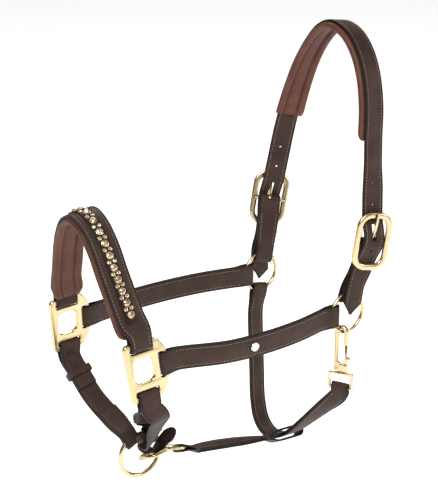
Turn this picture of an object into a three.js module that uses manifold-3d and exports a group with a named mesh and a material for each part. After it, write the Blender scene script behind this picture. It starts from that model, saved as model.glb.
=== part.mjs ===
// A leather headcollar: padded crown, two cheek rings, cheek straps, two slotted halter squares, a padded
// noseband with a crystal inlay, chin and jaw straps and a throat strap with a bolt snap. Millimetres, +Z up,
// +X towards the back of the horse's head, -Y the near (left) side. The parts are laid out about the line
// through the two cheek rings, and the whole group is then moved so that the origin is where it rests on
// the poll.
import * as THREE from "three";
import { mergeVertices } from "three/addons/utils/BufferGeometryUtils.js";
import Module from "manifold-3d";

const wasm = await Module();
wasm.setup();

// Driving dimensions.
const GAP = 0.4; // clearance between parts that touch
const STRAP_WIDTH = 25; // crown, cheek and chin straps
const THIN_WIDTH = 20; // throat and jaw straps
const LEATHER = 2.8; // single layer
const THIN_LEATHER = 2.2; // skived layer that is folded round a fitting
const EDGE = 0.6; // chamfer along a strap's edges
const RING_RADIUS = 22.5;
const RING_WIRE = 2.2;
const RING_Y = 81;
const LEAD_RADIUS = 25.5;
const LEAD_WIRE = 2.7;
const SQUARE_THICKNESS = 4.4;
const SQUARE_WINDOW = { width: 23, height: 27, radius: 7 };
const SQUARE_CENTRE = [-267, 79, -2.2];
const SQUARE_TURN = { toe: -0.8, lean: -5.5, pitch: -4.3 };
const BUCKLE = { width: 44, height: 66, rail: 7, radius: 17, thickness: 4.4, bar: 1.7 };
const BUCKLE_LEAN = 3; // degrees; the frame stands further out at its lower end
const CHIN_BUCKLE = { length: 31, depth: 36, rail: 4.8, radius: 9, thickness: 4.8 };
const NOSEBAND_WIDTH = 32;
const PAD = 7.5;
const INLAY_WIDTH = 13;
const STEP = 9; // longest stretch of strap between two stations

const LEATHER_LOOK = { color: 0x3a2a24, roughness: 0.55, metalness: 0 };
const LINING_LOOK = { color: 0x7a4638, roughness: 0.6, metalness: 0 };
const BRASS_LOOK = { color: 0xe2cc98, roughness: 0.32, metalness: 1 };
const CRYSTAL_LOOK = { color: 0xd8bd8c, roughness: 0.15, metalness: 0.4 };

const root = new THREE.Group();
const vector = (p) => new THREE.Vector3(...p);
const radians = THREE.MathUtils.degToRad;
const mirrored = (p) => [p[0], -p[1], p[2]];

function addMesh(name, geometry, look, parent = root) {
  const mesh = new THREE.Mesh(geometry, new THREE.MeshStandardMaterial(look));
  mesh.name = name;
  parent.add(mesh);
  return mesh;
}

// ---- solids ----

function solidOf(geometry) {
  const bare = geometry.clone();
  bare.deleteAttribute("normal");
  bare.deleteAttribute("uv");
  const merged = mergeVertices(bare, 1e-3);
  const mesh = new wasm.Mesh({
    numProp: 3,
    vertProperties: merged.attributes.position.array,
    triVerts: new Uint32Array(merged.index.array),
  });
  return new wasm.Manifold(mesh);
}

function geometryOf(solid) {
  const mesh = solid.getMesh();
  const geometry = new THREE.BufferGeometry();
  geometry.setAttribute("position", new THREE.BufferAttribute(mesh.vertProperties, 3));
  geometry.setIndex(new THREE.BufferAttribute(mesh.triVerts, 1));
  return geometry;
}

const joined = (...parts) => geometryOf(parts.map(solidOf).reduce((a, b) => a.add(b)));
const cut = (body, ...tools) => geometryOf(tools.map(solidOf).reduce((a, b) => a.subtract(b), solidOf(body)));

// A plate from a THREE.Shape, centred on its own thickness, with bevelled edges.
function plate(shape, thickness, bevel, curveSegments = 6) {
  const geometry = new THREE.ExtrudeGeometry(shape, {
    depth: thickness - 2 * bevel,
    bevelEnabled: bevel > 0,
    bevelThickness: bevel,
    bevelSize: bevel,
    bevelOffset: -bevel,
    bevelSegments: 1,
    curveSegments,
  });
  return geometry.translate(0, 0, bevel - thickness / 2);
}

function roundedRectangle(width, height, radius, centreX = 0, centreY = 0, Type = THREE.Shape) {
  const [x, y] = [width / 2, height / 2];
  const shape = new Type();
  const corners = [
    [x - radius, -y + radius, -90],
    [x - radius, y - radius, 0],
    [-x + radius, y - radius, 90],
    [-x + radius, -y + radius, 180],
  ];
  for (const [cornerX, cornerY, from] of corners) {
    shape.absarc(centreX + cornerX, centreY + cornerY, radius, radians(from), radians(from + 90), false);
  }
  shape.closePath();
  return shape;
}

// ---- lanes and straps ----

// A lane is the line that a strap follows: along it runs the tangent, across it the strap's width, and the
// normal points away from the horse. Positions beyond its ends continue straight.
class Lane {
  constructor(stations, side = 1) {
    const place = side > 0 ? (p) => p : mirrored;
    this.curve = new THREE.CatmullRomCurve3(
      stations.map((s) => vector(place(s.at))),
      false,
      "centripetal",
    );
    this.curve.arcLengthDivisions = 400;
    this.length = this.curve.getLength();
    this.across = stations.map((s) => vector(place(s.across)).multiplyScalar(side));
    this.marks = stations.map((_, i) => this.lengthAt(i / (stations.length - 1)));
  }

  lengthAt(parameter) {
    const lengths = this.curve.getLengths();
    const index = parameter * (lengths.length - 1);
    const low = Math.floor(index);
    const high = Math.min(low + 1, lengths.length - 1);
    return lengths[low] + (lengths[high] - lengths[low]) * (index - low);
  }

  acrossAt(distance) {
    const last = this.marks.length - 1;
    let i = 0;
    while (i < last - 1 && distance > this.marks[i + 1]) i += 1;
    const share = (distance - this.marks[i]) / (this.marks[i + 1] - this.marks[i]);
    return this.across[i].clone().lerp(this.across[i + 1], THREE.MathUtils.clamp(share, 0, 1));
  }

  frameAt(distance) {
    const inside = THREE.MathUtils.clamp(distance, 0, this.length);
    const along = this.curve.getTangentAt(inside / this.length).normalize();
    const at = this.curve.getPointAt(inside / this.length).addScaledVector(along, distance - inside);
    const normal = this.acrossAt(inside).cross(along).normalize();
    const across = along.clone().cross(normal);
    return { at, along, normal, across };
  }

  // Moves a geometry drawn in (across, along, normal) or (along, normal, across) axes to a place on the lane.
  place(geometry, distance, offset, axes = "frame") {
    const { at, along, normal, across } = this.frameAt(distance);
    const basis = axes === "frame" ? [across, along, normal] : [along, normal, across];
    const matrix = new THREE.Matrix4().makeBasis(...basis);
    matrix.setPosition(at.addScaledVector(normal, offset));
    return geometry.applyMatrix4(matrix);
  }
}

// Points of an arc in a lane's (distance, height) plane.
function turn(distance, height, radius, from, to, steps = 7) {
  return Array.from({ length: steps + 1 }, (_, i) => {
    const angle = radians(from + ((to - from) * i) / steps);
    return [distance + radius * Math.cos(angle), height + radius * Math.sin(angle)];
  });
}

function stepped(path, closed) {
  const ends = closed ? [...path, path[0]] : path;
  const points = [ends[0]];
  for (let i = 1; i < ends.length; i += 1) {
    const [from, to] = [ends[i - 1], ends[i]];
    const parts = Math.max(1, Math.ceil(Math.hypot(to[0] - from[0], to[1] - from[1]) / STEP));
    for (let part = 1; part <= parts; part += 1) {
      points.push(from.map((value, axis) => value + ((to[axis] - value) * part) / parts));
    }
  }
  if (closed) points.pop();
  return points;
}

// The chamfered section of a strap, going round once.
function section(width, thickness) {
  const [w, t] = [width / 2, thickness / 2];
  const e = Math.min(EDGE, t * 0.8);
  return [
    [w, -t + e],
    [w, t - e],
    [w - e, t],
    [-w + e, t],
    [-w, t - e],
    [-w, -t + e],
    [-w + e, -t],
    [w - e, -t],
  ];
}

// A strap laid on a lane along a path of [distance, height] points; closed joins its two ends. The width may
// be a function of the distance.
function strap(lane, path, width, thickness, closed = false) {
  return skin(strapRows(lane, path, width, thickness, closed), closed);
}

function strapRows(lane, path, width, thickness, closed = false) {
  const points = stepped(path, closed);
  const count = points.length;
  return points.map(([distance, height], i) => {
    const before = points[closed ? (i + count - 1) % count : Math.max(i - 1, 0)];
    const after = points[closed ? (i + 1) % count : Math.min(i + 1, count - 1)];
    const slope = Math.atan2(after[1] - before[1], after[0] - before[0]);
    const { at, along, normal, across } = lane.frameAt(distance);
    const centre = at.addScaledVector(normal, height);
    const face = normal.clone().multiplyScalar(Math.cos(slope)).addScaledVector(along, -Math.sin(slope));
    const wide = typeof width === "function" ? width(distance) : width;
    return section(wide, thickness).map(([w, t]) =>
      centre.clone().addScaledVector(across, w).addScaledVector(face, t),
    );
  });
}

// Joins rows of points, each a ring, into one closed body.
function skin(rows, closed) {
  const sides = rows[0].length;
  const index = [];
  const bands = closed ? rows.length : rows.length - 1;
  for (let row = 0; row < bands; row += 1) {
    const next = (row + 1) % rows.length;
    for (let side = 0; side < sides; side += 1) {
      const other = (side + 1) % sides;
      const [a, b] = [row * sides + side, row * sides + other];
      const [c, d] = [next * sides + side, next * sides + other];
      index.push(a, b, d, a, d, c);
    }
  }
  if (!closed) {
    const last = (rows.length - 1) * sides;
    for (let side = 1; side < sides - 1; side += 1) {
      index.push(0, side + 1, side);
      index.push(last, last + side, last + side + 1);
    }
  }
  const geometry = new THREE.BufferGeometry();
  geometry.setAttribute("position", new THREE.Float32BufferAttribute(rows.flat().flatMap((p) => [...p]), 3));
  geometry.setIndex(index);
  const solid = solidOf(geometry);
  if (solid.volume() > 0) return geometry;
  for (let i = 0; i < index.length; i += 3) {
    [index[i + 1], index[i + 2]] = [index[i + 2], index[i + 1]];
  }
  geometry.setIndex(index);
  return geometry;
}

// ---- halter squares ----

const LOBE_BAR = 26.3; // centre of each bar, out from the middle of the square
const TOP_BAR = 27.4;
const BOTTOM_BAR = -29.4;

function squareShape() {
  const shape = new THREE.Shape();
  shape.moveTo(-13, -34);
  shape.lineTo(11, -34);
  shape.quadraticCurveTo(20, -33.5, 23.5, -25.5);
  shape.quadraticCurveTo(30, -18, 30, 0);
  shape.quadraticCurveTo(30, 17, 24, 23);
  shape.quadraticCurveTo(19.5, 31.5, 13, 31.5);
  shape.lineTo(-14.5, 31.5);
  shape.quadraticCurveTo(-21, 31.5, -21, 25);
  shape.lineTo(-18.8, -27);
  shape.quadraticCurveTo(-18.5, -34, -13, -34);
  const { width, height, radius } = SQUARE_WINDOW;
  shape.holes.push(
    roundedRectangle(width, height, radius, 0, 0, THREE.Path),
    roundedRectangle(27, 4.6, 1, 0, 22, THREE.Path),
    roundedRectangle(27, 4.6, 1, 1, -24, THREE.Path),
    roundedRectangle(4.4, 27, 1, 21, 0, THREE.Path),
  );
  return shape;
}

function addSquare(side) {
  const { toe, lean, pitch } = SQUARE_TURN;
  const turned = new THREE.Matrix4().makeRotationFromEuler(
    new THREE.Euler(radians(lean), radians(pitch), radians(toe), "ZXY"),
  );
  const upright = new THREE.Matrix4().makeRotationX(Math.PI / 2);
  const placed = turned.clone().multiply(upright).setPosition(...mirrored(SQUARE_CENTRE));
  const geometry = plate(squareShape(), SQUARE_THICKNESS, 0.9, 3).applyMatrix4(placed);
  const group = new THREE.Group();
  if (side > 0) group.scale.y = -1;
  root.add(group);
  const name = side < 0 ? "near_halter_square" : "far_halter_square";
  addMesh(name, geometry, BRASS_LOOK, group);
  return (x, z) => {
    const point = new THREE.Vector3(x, z, 0).applyMatrix4(placed);
    return [point.x, Math.abs(point.y), point.z];
  };
}

addSquare(-1);
const onSquare = addSquare(1); // a point of a square's plane, as x, distance from the middle plane, z
const between = (from, to) => vector(to).sub(vector(from)).normalize().toArray();
const SQUARE_ALONG = between(onSquare(-10, 0), onSquare(10, 0));
const SQUARE_UP = between(onSquare(0, -10), onSquare(0, 10));

// ---- cheek rings and straps ----

function addRing(name, centre, radius, wire) {
  const geometry = new THREE.TorusGeometry(radius, wire, 8, 32).rotateX(Math.PI / 2);
  addMesh(name, geometry.translate(...centre), BRASS_LOOK);
}

const SIDES = [
  ["near", -1],
  ["far", 1],
];

for (const [side, sign] of SIDES) {
  addRing(`${side}_cheek_ring`, [0, sign * RING_Y, 0], RING_RADIUS, RING_WIRE);
}

// How far a fold inside a ring reaches past the wire's nearest point, for a strap of this width.
const ringBack = (radius, width) => radius - Math.sqrt(radius ** 2 - (width / 2) ** 2);
const RING_FOLD = RING_WIRE + GAP + THIN_LEATHER / 2;
const BAR_TURN = SQUARE_THICKNESS / 2 + GAP + LEATHER / 2; // fold round a square's bar
const THIN_BAR_TURN = SQUARE_THICKNESS / 2 + GAP + THIN_LEATHER / 2;
const BAR_BACK = 1.2; // the fold's centre, from the bar's middle towards the slot
const RING_REACH = ringBack(RING_RADIUS, STRAP_WIDTH) + 2;

const CHEEK_BOW = 14; // how far a cheek strap stands out at its middle
const cheekLane = (side) =>
  new Lane(
    [
      { at: onSquare(LOBE_BAR, 0), across: SQUARE_UP },
      { at: onSquare(LOBE_BAR + 13, 0), across: SQUARE_UP },
      { at: [-170, RING_Y + CHEEK_BOW * 0.85, -1], across: [-0.03, 0.03, 1] },
      { at: [-120, RING_Y + CHEEK_BOW, -1], across: [0, 0, 1] },
      { at: [-75, RING_Y + CHEEK_BOW * 0.7, -0.5], across: [0, 0, 1] },
      { at: [-RING_RADIUS - 11, RING_Y + 0.6, 0], across: [0, 0, 1] },
      { at: [-RING_RADIUS, RING_Y, 0], across: [0, 0, 1] },
    ],
    side,
  );

function addCheekStrap(name, side) {
  const lane = cheekLane(side);
  const layer = THIN_LEATHER / 2 + GAP / 2;
  const path = [
    ...turn(-BAR_BACK, 0, THIN_BAR_TURN, 270, 90),
    [8, THIN_BAR_TURN - 0.6],
    [16, layer],
    [lane.length - 14, layer],
    [lane.length - 5, RING_FOLD],
    ...turn(lane.length + RING_REACH, 0, RING_FOLD, 90, -90),
    [lane.length - 5, -RING_FOLD],
    [lane.length - 14, -layer],
    [16, -layer],
    [8, -THIN_BAR_TURN + 0.6],
  ];
  addMesh(name, strap(lane, path, STRAP_WIDTH, THIN_LEATHER, true), LEATHER_LOOK);
  return lane;
}

const nearCheek = addCheekStrap("near_cheek_strap", -1);
addCheekStrap("far_cheek_strap", 1);

// A plain round stud on the near cheek strap, and the burr that holds it behind.
const STUD_AT = 103; // along the cheek strap from the square
{
  const outside = THIN_LEATHER + GAP;
  const head = new THREE.CylinderGeometry(4.2, 5.2, 1.8, 16).rotateX(Math.PI / 2);
  addMesh("cheek_stud", nearCheek.place(head, STUD_AT, outside + 1.1), BRASS_LOOK);
  const burr = new THREE.CylinderGeometry(4.5, 4.5, 1.2, 16).rotateX(Math.PI / 2);
  addMesh("cheek_stud_burr", nearCheek.place(burr, STUD_AT, -outside - 0.9), BRASS_LOOK);
}

// ---- crown ----

const NEAR_CROWN = [
  [3, 81, 22.3],
  [5.5, 81.2, 32],
  [13.5, 84, 49],
  [21, 90, 85],
  [23.5, 90, 113],
  [25.5, 88, 140],
  [28.5, 83.5, 168],
  [32.5, 78, 196],
  [38.5, 71, 228],
  [43.5, 59, 260],
  [46, 43.5, 285],
  [46, 24, 303],
];
const FAR_CROWN = [
  [3, 81, 22.3],
  [5.5, 81.2, 32],
  [11, 84, 49],
  [20.5, 90, 85],
  [27, 91, 113],
  [32.5, 90, 140],
  [36.5, 86.5, 168],
  [40, 81, 196],
  [43, 72.5, 228],
  [44.5, 58.5, 260],
  [45, 42, 284],
  [45, 22, 302.5],
];
const CROWN_TOP = [45, 0, 310];
const CROWN_ACROSS = [0.985, 0, -0.14];
const NEAR_FACING = [0, 0, -0.2, -0.2, -0.2, -0.2, 0, 0, 0, 0, 0, 0]; // turn of the strap's width at each station
const FAR_FACING = [0, 0, -0.25, -0.42, -0.5, -0.5, -0.45, -0.35, -0.2, -0.1, 0, 0];

// Stations from the near side over the top to the far side.
function arch(near, far, top, acrossAt) {
  const nearSide = near.map((p, i) => ({ at: mirrored(p), across: acrossAt(i, -1) }));
  const farSide = far.map((p, i) => ({ at: p, across: acrossAt(i, 1) })).reverse();
  return [...nearSide, { at: top, across: acrossAt(near.length, 1) }, ...farSide];
}

function crownAcross(station, sign) {
  const turned = (sign > 0 ? FAR_FACING : NEAR_FACING)[station] ?? 0;
  return [Math.sqrt(CROWN_ACROSS[0] ** 2 - turned ** 2), turned, CROWN_ACROSS[2]];
}

const crown = new Lane(arch(NEAR_CROWN, FAR_CROWN, CROWN_TOP, crownAcross));
const BUCKLE_AT = crown.marks[3];
const LINING_FROM = crown.marks[7];
const BUCKLE_OFF = 7; // the frame's middle plane, out from the lane
const BAR_OFF = BUCKLE_OFF - 2.2; // the centre bar's middle, out from the lane
const LOOP_TURN = BUCKLE.bar + GAP + THIN_LEATHER / 2;
const OVER_BAR = BAR_OFF + LOOP_TURN + THIN_LEATHER / 2 + GAP + LEATHER / 2;
const HALF_BUCKLE = BUCKLE.height / 2 - BUCKLE.rail / 2;
const TAIL_OFF = THIN_LEATHER + GAP * 1.5 + LEATHER / 2; // clear of the doubled buckle strap
const TAIL_END = -22; // the pointed end, past the ring end of the lane
const TAIL_POINT = 13;
const HOLE_PITCH = 24;
const TONGUE_SLOT = 10.8; // from the centre bar to the middle of the slot that the tongue is through

// The near end of the crown strap, from the pointed tail up through the buckle.
const crownTail = [
  [TAIL_END, 8.4],
  [TAIL_END + TAIL_POINT, 7.8],
  [3, 7.2],
  [13, 6.6],
  [22, TAIL_OFF],
  [BUCKLE_AT - HALF_BUCKLE - 4, TAIL_OFF],
  [BUCKLE_AT - 22, TAIL_OFF],
  [BUCKLE_AT - 13, TAIL_OFF + 2.9],
  [BUCKLE_AT - 6, OVER_BAR - 0.4],
  [BUCKLE_AT, OVER_BAR],
  [BUCKLE_AT + 5, OVER_BAR - 0.3],
  [BUCKLE_AT + HALF_BUCKLE - 10, 3.6],
  [BUCKLE_AT + HALF_BUCKLE - 3, 1.2],
  [BUCKLE_AT + HALF_BUCKLE + 4, 0.8],
  [BUCKLE_AT + HALF_BUCKLE + 18, 0],
];
const otherEnd = (path) => path.map(([d, h]) => [crown.length - d, h]).reverse();

function crownWidth(distance) {
  const fromEnd = Math.min(distance, crown.length - distance) - TAIL_END;
  return Math.max(3, STRAP_WIDTH * Math.min(1, fromEnd / TAIL_POINT));
}

// A round punch through a strap, at a distance along its lane.
function punch(distance, offset) {
  const tool = new THREE.CylinderGeometry(1.7, 1.7, 8, 10).rotateX(Math.PI / 2);
  return crown.place(tool, distance, offset);
}

{
  const path = [...crownTail, ...otherEnd(crownTail)];
  const body = strap(crown, path, crownWidth, LEATHER);
  const tools = [0, 1].flatMap((end) => {
    const from = (d) => (end ? crown.length - d : d);
    const slot = new THREE.BoxGeometry(4.8, 15.6, 16);
    return [
      crown.place(slot, from(BUCKLE_AT + TONGUE_SLOT), 5),
      punch(from(BUCKLE_AT - 10), OVER_BAR - 1),
      punch(from(BUCKLE_AT + TONGUE_SLOT + 1.2 * HOLE_PITCH), 0),
      punch(from(BUCKLE_AT + TONGUE_SLOT + 2.2 * HOLE_PITCH), 0),
    ];
  });
  addMesh("crown_strap", cut(body, ...tools), LEATHER_LOOK);
  const under = -LEATHER / 2 - GAP - PAD / 2;
  const lining = [
    [LINING_FROM, under],
    [crown.length - LINING_FROM, under],
  ];
  addMesh("crown_lining", strap(crown, lining, 30, PAD - 1), LINING_LOOK);
}

function buckleFrame({ width, height, rail, radius, thickness, bar }, barDrop) {
  const outline = roundedRectangle(width, height, radius);
  outline.holes.push(roundedRectangle(width - 2 * rail, height - 2 * rail, radius - rail, 0, 0, THREE.Path));
  const frame = plate(outline, thickness, 1.2, 5);
  const pin = new THREE.CylinderGeometry(bar, bar, width - rail, 10).rotateZ(Math.PI / 2);
  return joined(frame, pin.translate(0, 0, barDrop));
}

// A tongue drawn in (along, normal): an eye round the bar, and an arm through the given points.
function tongue(bar, width, points) {
  const outer = bar + GAP + 1.3;
  const eye = new THREE.Shape().absarc(0, 0, outer, 0, 2 * Math.PI, false);
  eye.holes.push(new THREE.Path().absarc(0, 0, bar + GAP, 0, 2 * Math.PI, true));
  const ring = new THREE.ExtrudeGeometry(eye, { depth: width, bevelEnabled: false, curveSegments: 9 });
  const arm = new THREE.ExtrudeGeometry(new THREE.Shape(points.map((p) => new THREE.Vector2(...p))), {
    depth: width,
    bevelEnabled: false,
  });
  return joined(ring, arm).translate(0, 0, -width / 2);
}

const CROWN_TONGUE = [
  [2.5, 1.2],
  [10, 2.2],
  [HALF_BUCKLE - 4, 3.6],
  [HALF_BUCKLE + 3.2, 3.7],
  [HALF_BUCKLE + 2.8, 5.6],
  [HALF_BUCKLE - 4, 6],
  [10, 4.6],
  [1.6, 3],
];

function addCrownEnd(side, sign) {
  const at = sign > 0 ? crown.length - BUCKLE_AT : BUCKLE_AT;
  const lean = radians(BUCKLE_LEAN) * -sign;
  const frame = buckleFrame(BUCKLE, BAR_OFF - BUCKLE_OFF).rotateX(-lean);
  addMesh(`${side}_crown_buckle`, crown.place(frame, at, BUCKLE_OFF), BRASS_LOOK);
  const prong = tongue(BUCKLE.bar, 3.6, CROWN_TONGUE);
  if (sign > 0) prong.rotateY(Math.PI);
  addMesh(`${side}_crown_tongue`, crown.place(prong, at, BAR_OFF, "profile"), BRASS_LOOK);
  const layer = THIN_LEATHER / 2 + GAP / 2;
  const half = [
    ...turn(-RING_REACH, 0, RING_FOLD, 270, 90),
    [6, RING_FOLD - 0.6],
    [16, layer],
    [BUCKLE_AT - 18, layer],
    [BUCKLE_AT - 10, layer + 1.2],
    [BUCKLE_AT - 4, BAR_OFF + LOOP_TURN - 1],
    ...turn(BUCKLE_AT, BAR_OFF, LOOP_TURN, 90, -90),
    [BUCKLE_AT - 8, -layer + 0.4],
    [16, -layer],
    [6, -RING_FOLD + 0.6],
  ];
  const path = sign > 0 ? otherEnd(half) : half;
  const band = strap(crown, path, STRAP_WIDTH, THIN_LEATHER, true);
  const slot = new THREE.BoxGeometry(4.8, 17.5, 12).translate(0, -4.25 * sign, 1);
  addMesh(`${side}_buckle_strap`, cut(band, crown.place(slot, at, BAR_OFF)), LEATHER_LOOK);
}

for (const [side, sign] of SIDES) addCrownEnd(side, sign);

// ---- noseband ----

const NEAR_NOSE = [
  onSquare(0, TOP_BAR),
  onSquare(0, TOP_BAR + 12),
  [-274.6, 68.6, 51],
  [-278.4, 58, 75],
  [-281.8, 48, 98],
  [-284, 36.5, 121],
  [-286, 20.5, 140],
];
const FAR_NOSE = [
  onSquare(0, TOP_BAR),
  onSquare(0, TOP_BAR + 12),
  [-273.6, 69, 51],
  [-276, 60, 75],
  [-279, 51, 98],
  [-281.6, 39.5, 121],
  [-284.5, 22, 140],
];
const noseAcross = (i) => (i < 2 ? SQUARE_ALONG.map((v, axis) => (axis === 1 ? 0 : v)) : [0.985, 0, 0.15]);
const noseband = new Lane(arch(NEAR_NOSE, FAR_NOSE, [-286, 0, 147.5], noseAcross));
const NOSE_TAPER = 26;

function noseWidth(distance) {
  const fromEnd = Math.min(distance, noseband.length - distance);
  const share = THREE.MathUtils.smoothstep(fromEnd, 4, NOSE_TAPER);
  return STRAP_WIDTH + (NOSEBAND_WIDTH - STRAP_WIDTH) * share;
}

{
  const surface = LEATHER / 2;
  const foldedEnd = [
    [15, -BAR_TURN],
    ...turn(-BAR_BACK, 0, BAR_TURN, 270, 90),
    [12, BAR_TURN - 0.8],
    [28, surface],
  ];
  const path = [...foldedEnd, ...foldedEnd.map(([d, h]) => [noseband.length - d, h]).reverse()];
  addMesh("noseband_strap", strap(noseband, path, noseWidth, LEATHER), LEATHER_LOOK);
  const under = surface - LEATHER / 2 - GAP - PAD / 2;
  const ends = [
    [7, -BAR_TURN - LEATHER / 2 - GAP - PAD / 2 + 0.3],
    [18, -BAR_TURN - LEATHER / 2 - GAP - PAD / 2 + 0.2],
    [35, under],
  ];
  const lining = [...ends, ...ends.map(([d, h]) => [noseband.length - d, h]).reverse()];
  addMesh("noseband_lining", strap(noseband, lining, (d) => noseWidth(d) + 4, PAD - 1), LINING_LOOK);
}

// The inlay: a flat band set on the noseband with domed crystals along its middle.
const INLAY_END = 26; // from the bar to the inlay's end
const INLAY_THICK = 1.2;
const CRYSTAL_PITCH = 12.6;

function dome(radius, height) {
  const profile = [
    [0, -INLAY_THICK / 2],
    [radius, -INLAY_THICK / 2],
    [radius, height * 0.35],
    [radius * 0.6, height],
    [0, height],
  ];
  return new THREE.LatheGeometry(profile.map((p) => new THREE.Vector2(...p)), 7).rotateX(Math.PI / 2);
}

{
  const above = LEATHER + GAP + INLAY_THICK / 2;
  const ends = [
    [INLAY_END, above + 0.9],
    [INLAY_END + 10, above + 0.5],
    [INLAY_END + 20, above],
  ];
  const path = [...ends, ...ends.map(([d, h]) => [noseband.length - d, h]).reverse()];
  const parts = [strap(noseband, path, INLAY_WIDTH, INLAY_THICK)];
  const run = noseband.length - 2 * (INLAY_END + 8);
  const count = Math.round(run / CRYSTAL_PITCH);
  for (let i = 0; i <= count; i += 1) {
    const distance = INLAY_END + 8 + (run * i) / count;
    const lift = above + 0.6 * (1 - THREE.MathUtils.smoothstep(Math.min(i, count - i), 0, 2));
    parts.push(noseband.place(dome(4, 3), distance, lift));
  }
  addMesh("noseband_inlay", joined(...parts), CRYSTAL_LOOK);
}

// ---- chin ----

const LEAD_CENTRE = [-222.6, 3, -145.4];
const LEAD_TURN = LEAD_WIRE + GAP + LEATHER / 2;
const CHIN_WIDTH = 24;
const CHIN_NARROW = 18; // where the chin straps are folded round the lead ring
const LEAD_REACH = ringBack(LEAD_RADIUS, CHIN_NARROW) + 1.8;
const LAYER = LEATHER / 2 + GAP / 2; // from the middle of a doubled strap to the middle of one layer
addRing("lead_ring", LEAD_CENTRE, LEAD_RADIUS, LEAD_WIRE);

// A point beyond the lead ring's wire, at an angle up from the front-to-back line.
function byLeadRing(degrees, beyond) {
  const angle = radians(degrees);
  const reach = LEAD_RADIUS + beyond;
  const [x, y, z] = LEAD_CENTRE;
  return [x + reach * Math.cos(angle), y, z + reach * Math.sin(angle)];
}

// The path of a strap's end that is folded round the lead ring and laid back on itself, tail first.
const leadFold = (end, tailSide, tail) => [
  [end - tail, tailSide * LAYER],
  [end - 16, tailSide * LAYER],
  [end - 4, tailSide * (LEAD_TURN - 0.2)],
  ...turn(end + LEAD_REACH, 0, LEAD_TURN, tailSide * 90, -tailSide * 90),
  [end - 4, -tailSide * (LEAD_TURN - 0.2)],
  [end - 16, -tailSide * LAYER],
];

// Strap width that narrows over a lane's end at the lead ring.
const narrowing = (lane) => (distance) => {
  const share = THREE.MathUtils.smoothstep(lane.length - distance, 2, 30);
  return CHIN_NARROW + (CHIN_WIDTH - CHIN_NARROW) * share;
};

// Far chin strap: round the lead ring, up the outside, over the far square's bottom bar and down the inside.
const FAR_FOLD = 119; // degrees round the lead ring
const farRingAcross = [0.875, 0, 0.485];
const farChin = new Lane([
  { at: onSquare(1, BOTTOM_BAR), across: SQUARE_ALONG },
  { at: onSquare(1, BOTTOM_BAR - 14), across: SQUARE_ALONG },
  { at: [-259.5, 67, -62], across: [1, 0, 0.15] },
  { at: [-253.5, 47, -84], across: [0.98, 0, 0.25] },
  { at: [-247, 22, -100], across: [0.95, 0, 0.35] },
  { at: byLeadRing(FAR_FOLD, 12), across: farRingAcross },
  { at: byLeadRing(FAR_FOLD, 0), across: farRingAcross },
]);
{
  const path = [
    ...leadFold(farChin.length, -1, 44),
    [24, LAYER],
    [7, BAR_TURN + 0.1],
    ...turn(-BAR_BACK, 0, BAR_TURN, 90, 270),
    [7, -BAR_TURN - 0.1],
    [24, -LAYER],
    [54, -LAYER],
  ];
  addMesh("far_chin_strap", strap(farChin, path, narrowing(farChin), LEATHER), LEATHER_LOOK);
}

// A keeper: a narrow band round the two layers of a strap.
function keeper(width) {
  const wall = 1.6;
  const [inner, layers] = [width + 5 * GAP, 2 * LEATHER + 9 * GAP];
  const outline = roundedRectangle(inner + 2 * wall, layers + 2 * wall, 1.6);
  outline.holes.push(roundedRectangle(inner, layers, 0.6, 0, 0, THREE.Path));
  return plate(outline, 8, 0.4, 3).rotateX(-Math.PI / 2);
}
addMesh("far_chin_keeper", farChin.place(keeper(CHIN_WIDTH), 36, 0), LEATHER_LOOK);

// The chin buckle: a frame that lies nearly level, with a narrower heel for the jaw strap.
const BUCKLE_PLACE = [-219.5, -22, -135.2];
const buckleAlong = new THREE.Vector3(0.99, 0, 0.134).normalize();
const buckleIn = new THREE.Vector3(0, 0.9, -0.436).addScaledVector(buckleAlong, 0.03).normalize();
const buckleUp = buckleAlong.clone().cross(buckleIn).normalize();
const HEEL = { length: 21.5, depth: 27, rail: 3.4, bend: 20 };
const HINGE = CHIN_BUCKLE.length / 2 - CHIN_BUCKLE.rail / 2; // the bar between the frame and its heel
const onBuckle = (along, inwards, up) => {
  const point = vector(BUCKLE_PLACE).addScaledVector(buckleAlong, along);
  return point.addScaledVector(buckleIn, inwards).addScaledVector(buckleUp, up).toArray();
};
const heelPoint = (reach) => {
  const angle = radians(HEEL.bend);
  return [HINGE + reach * Math.cos(angle), -reach * Math.sin(angle)];
};
const HEEL_BAR = heelPoint(HEEL.length - HEEL.rail);
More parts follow.
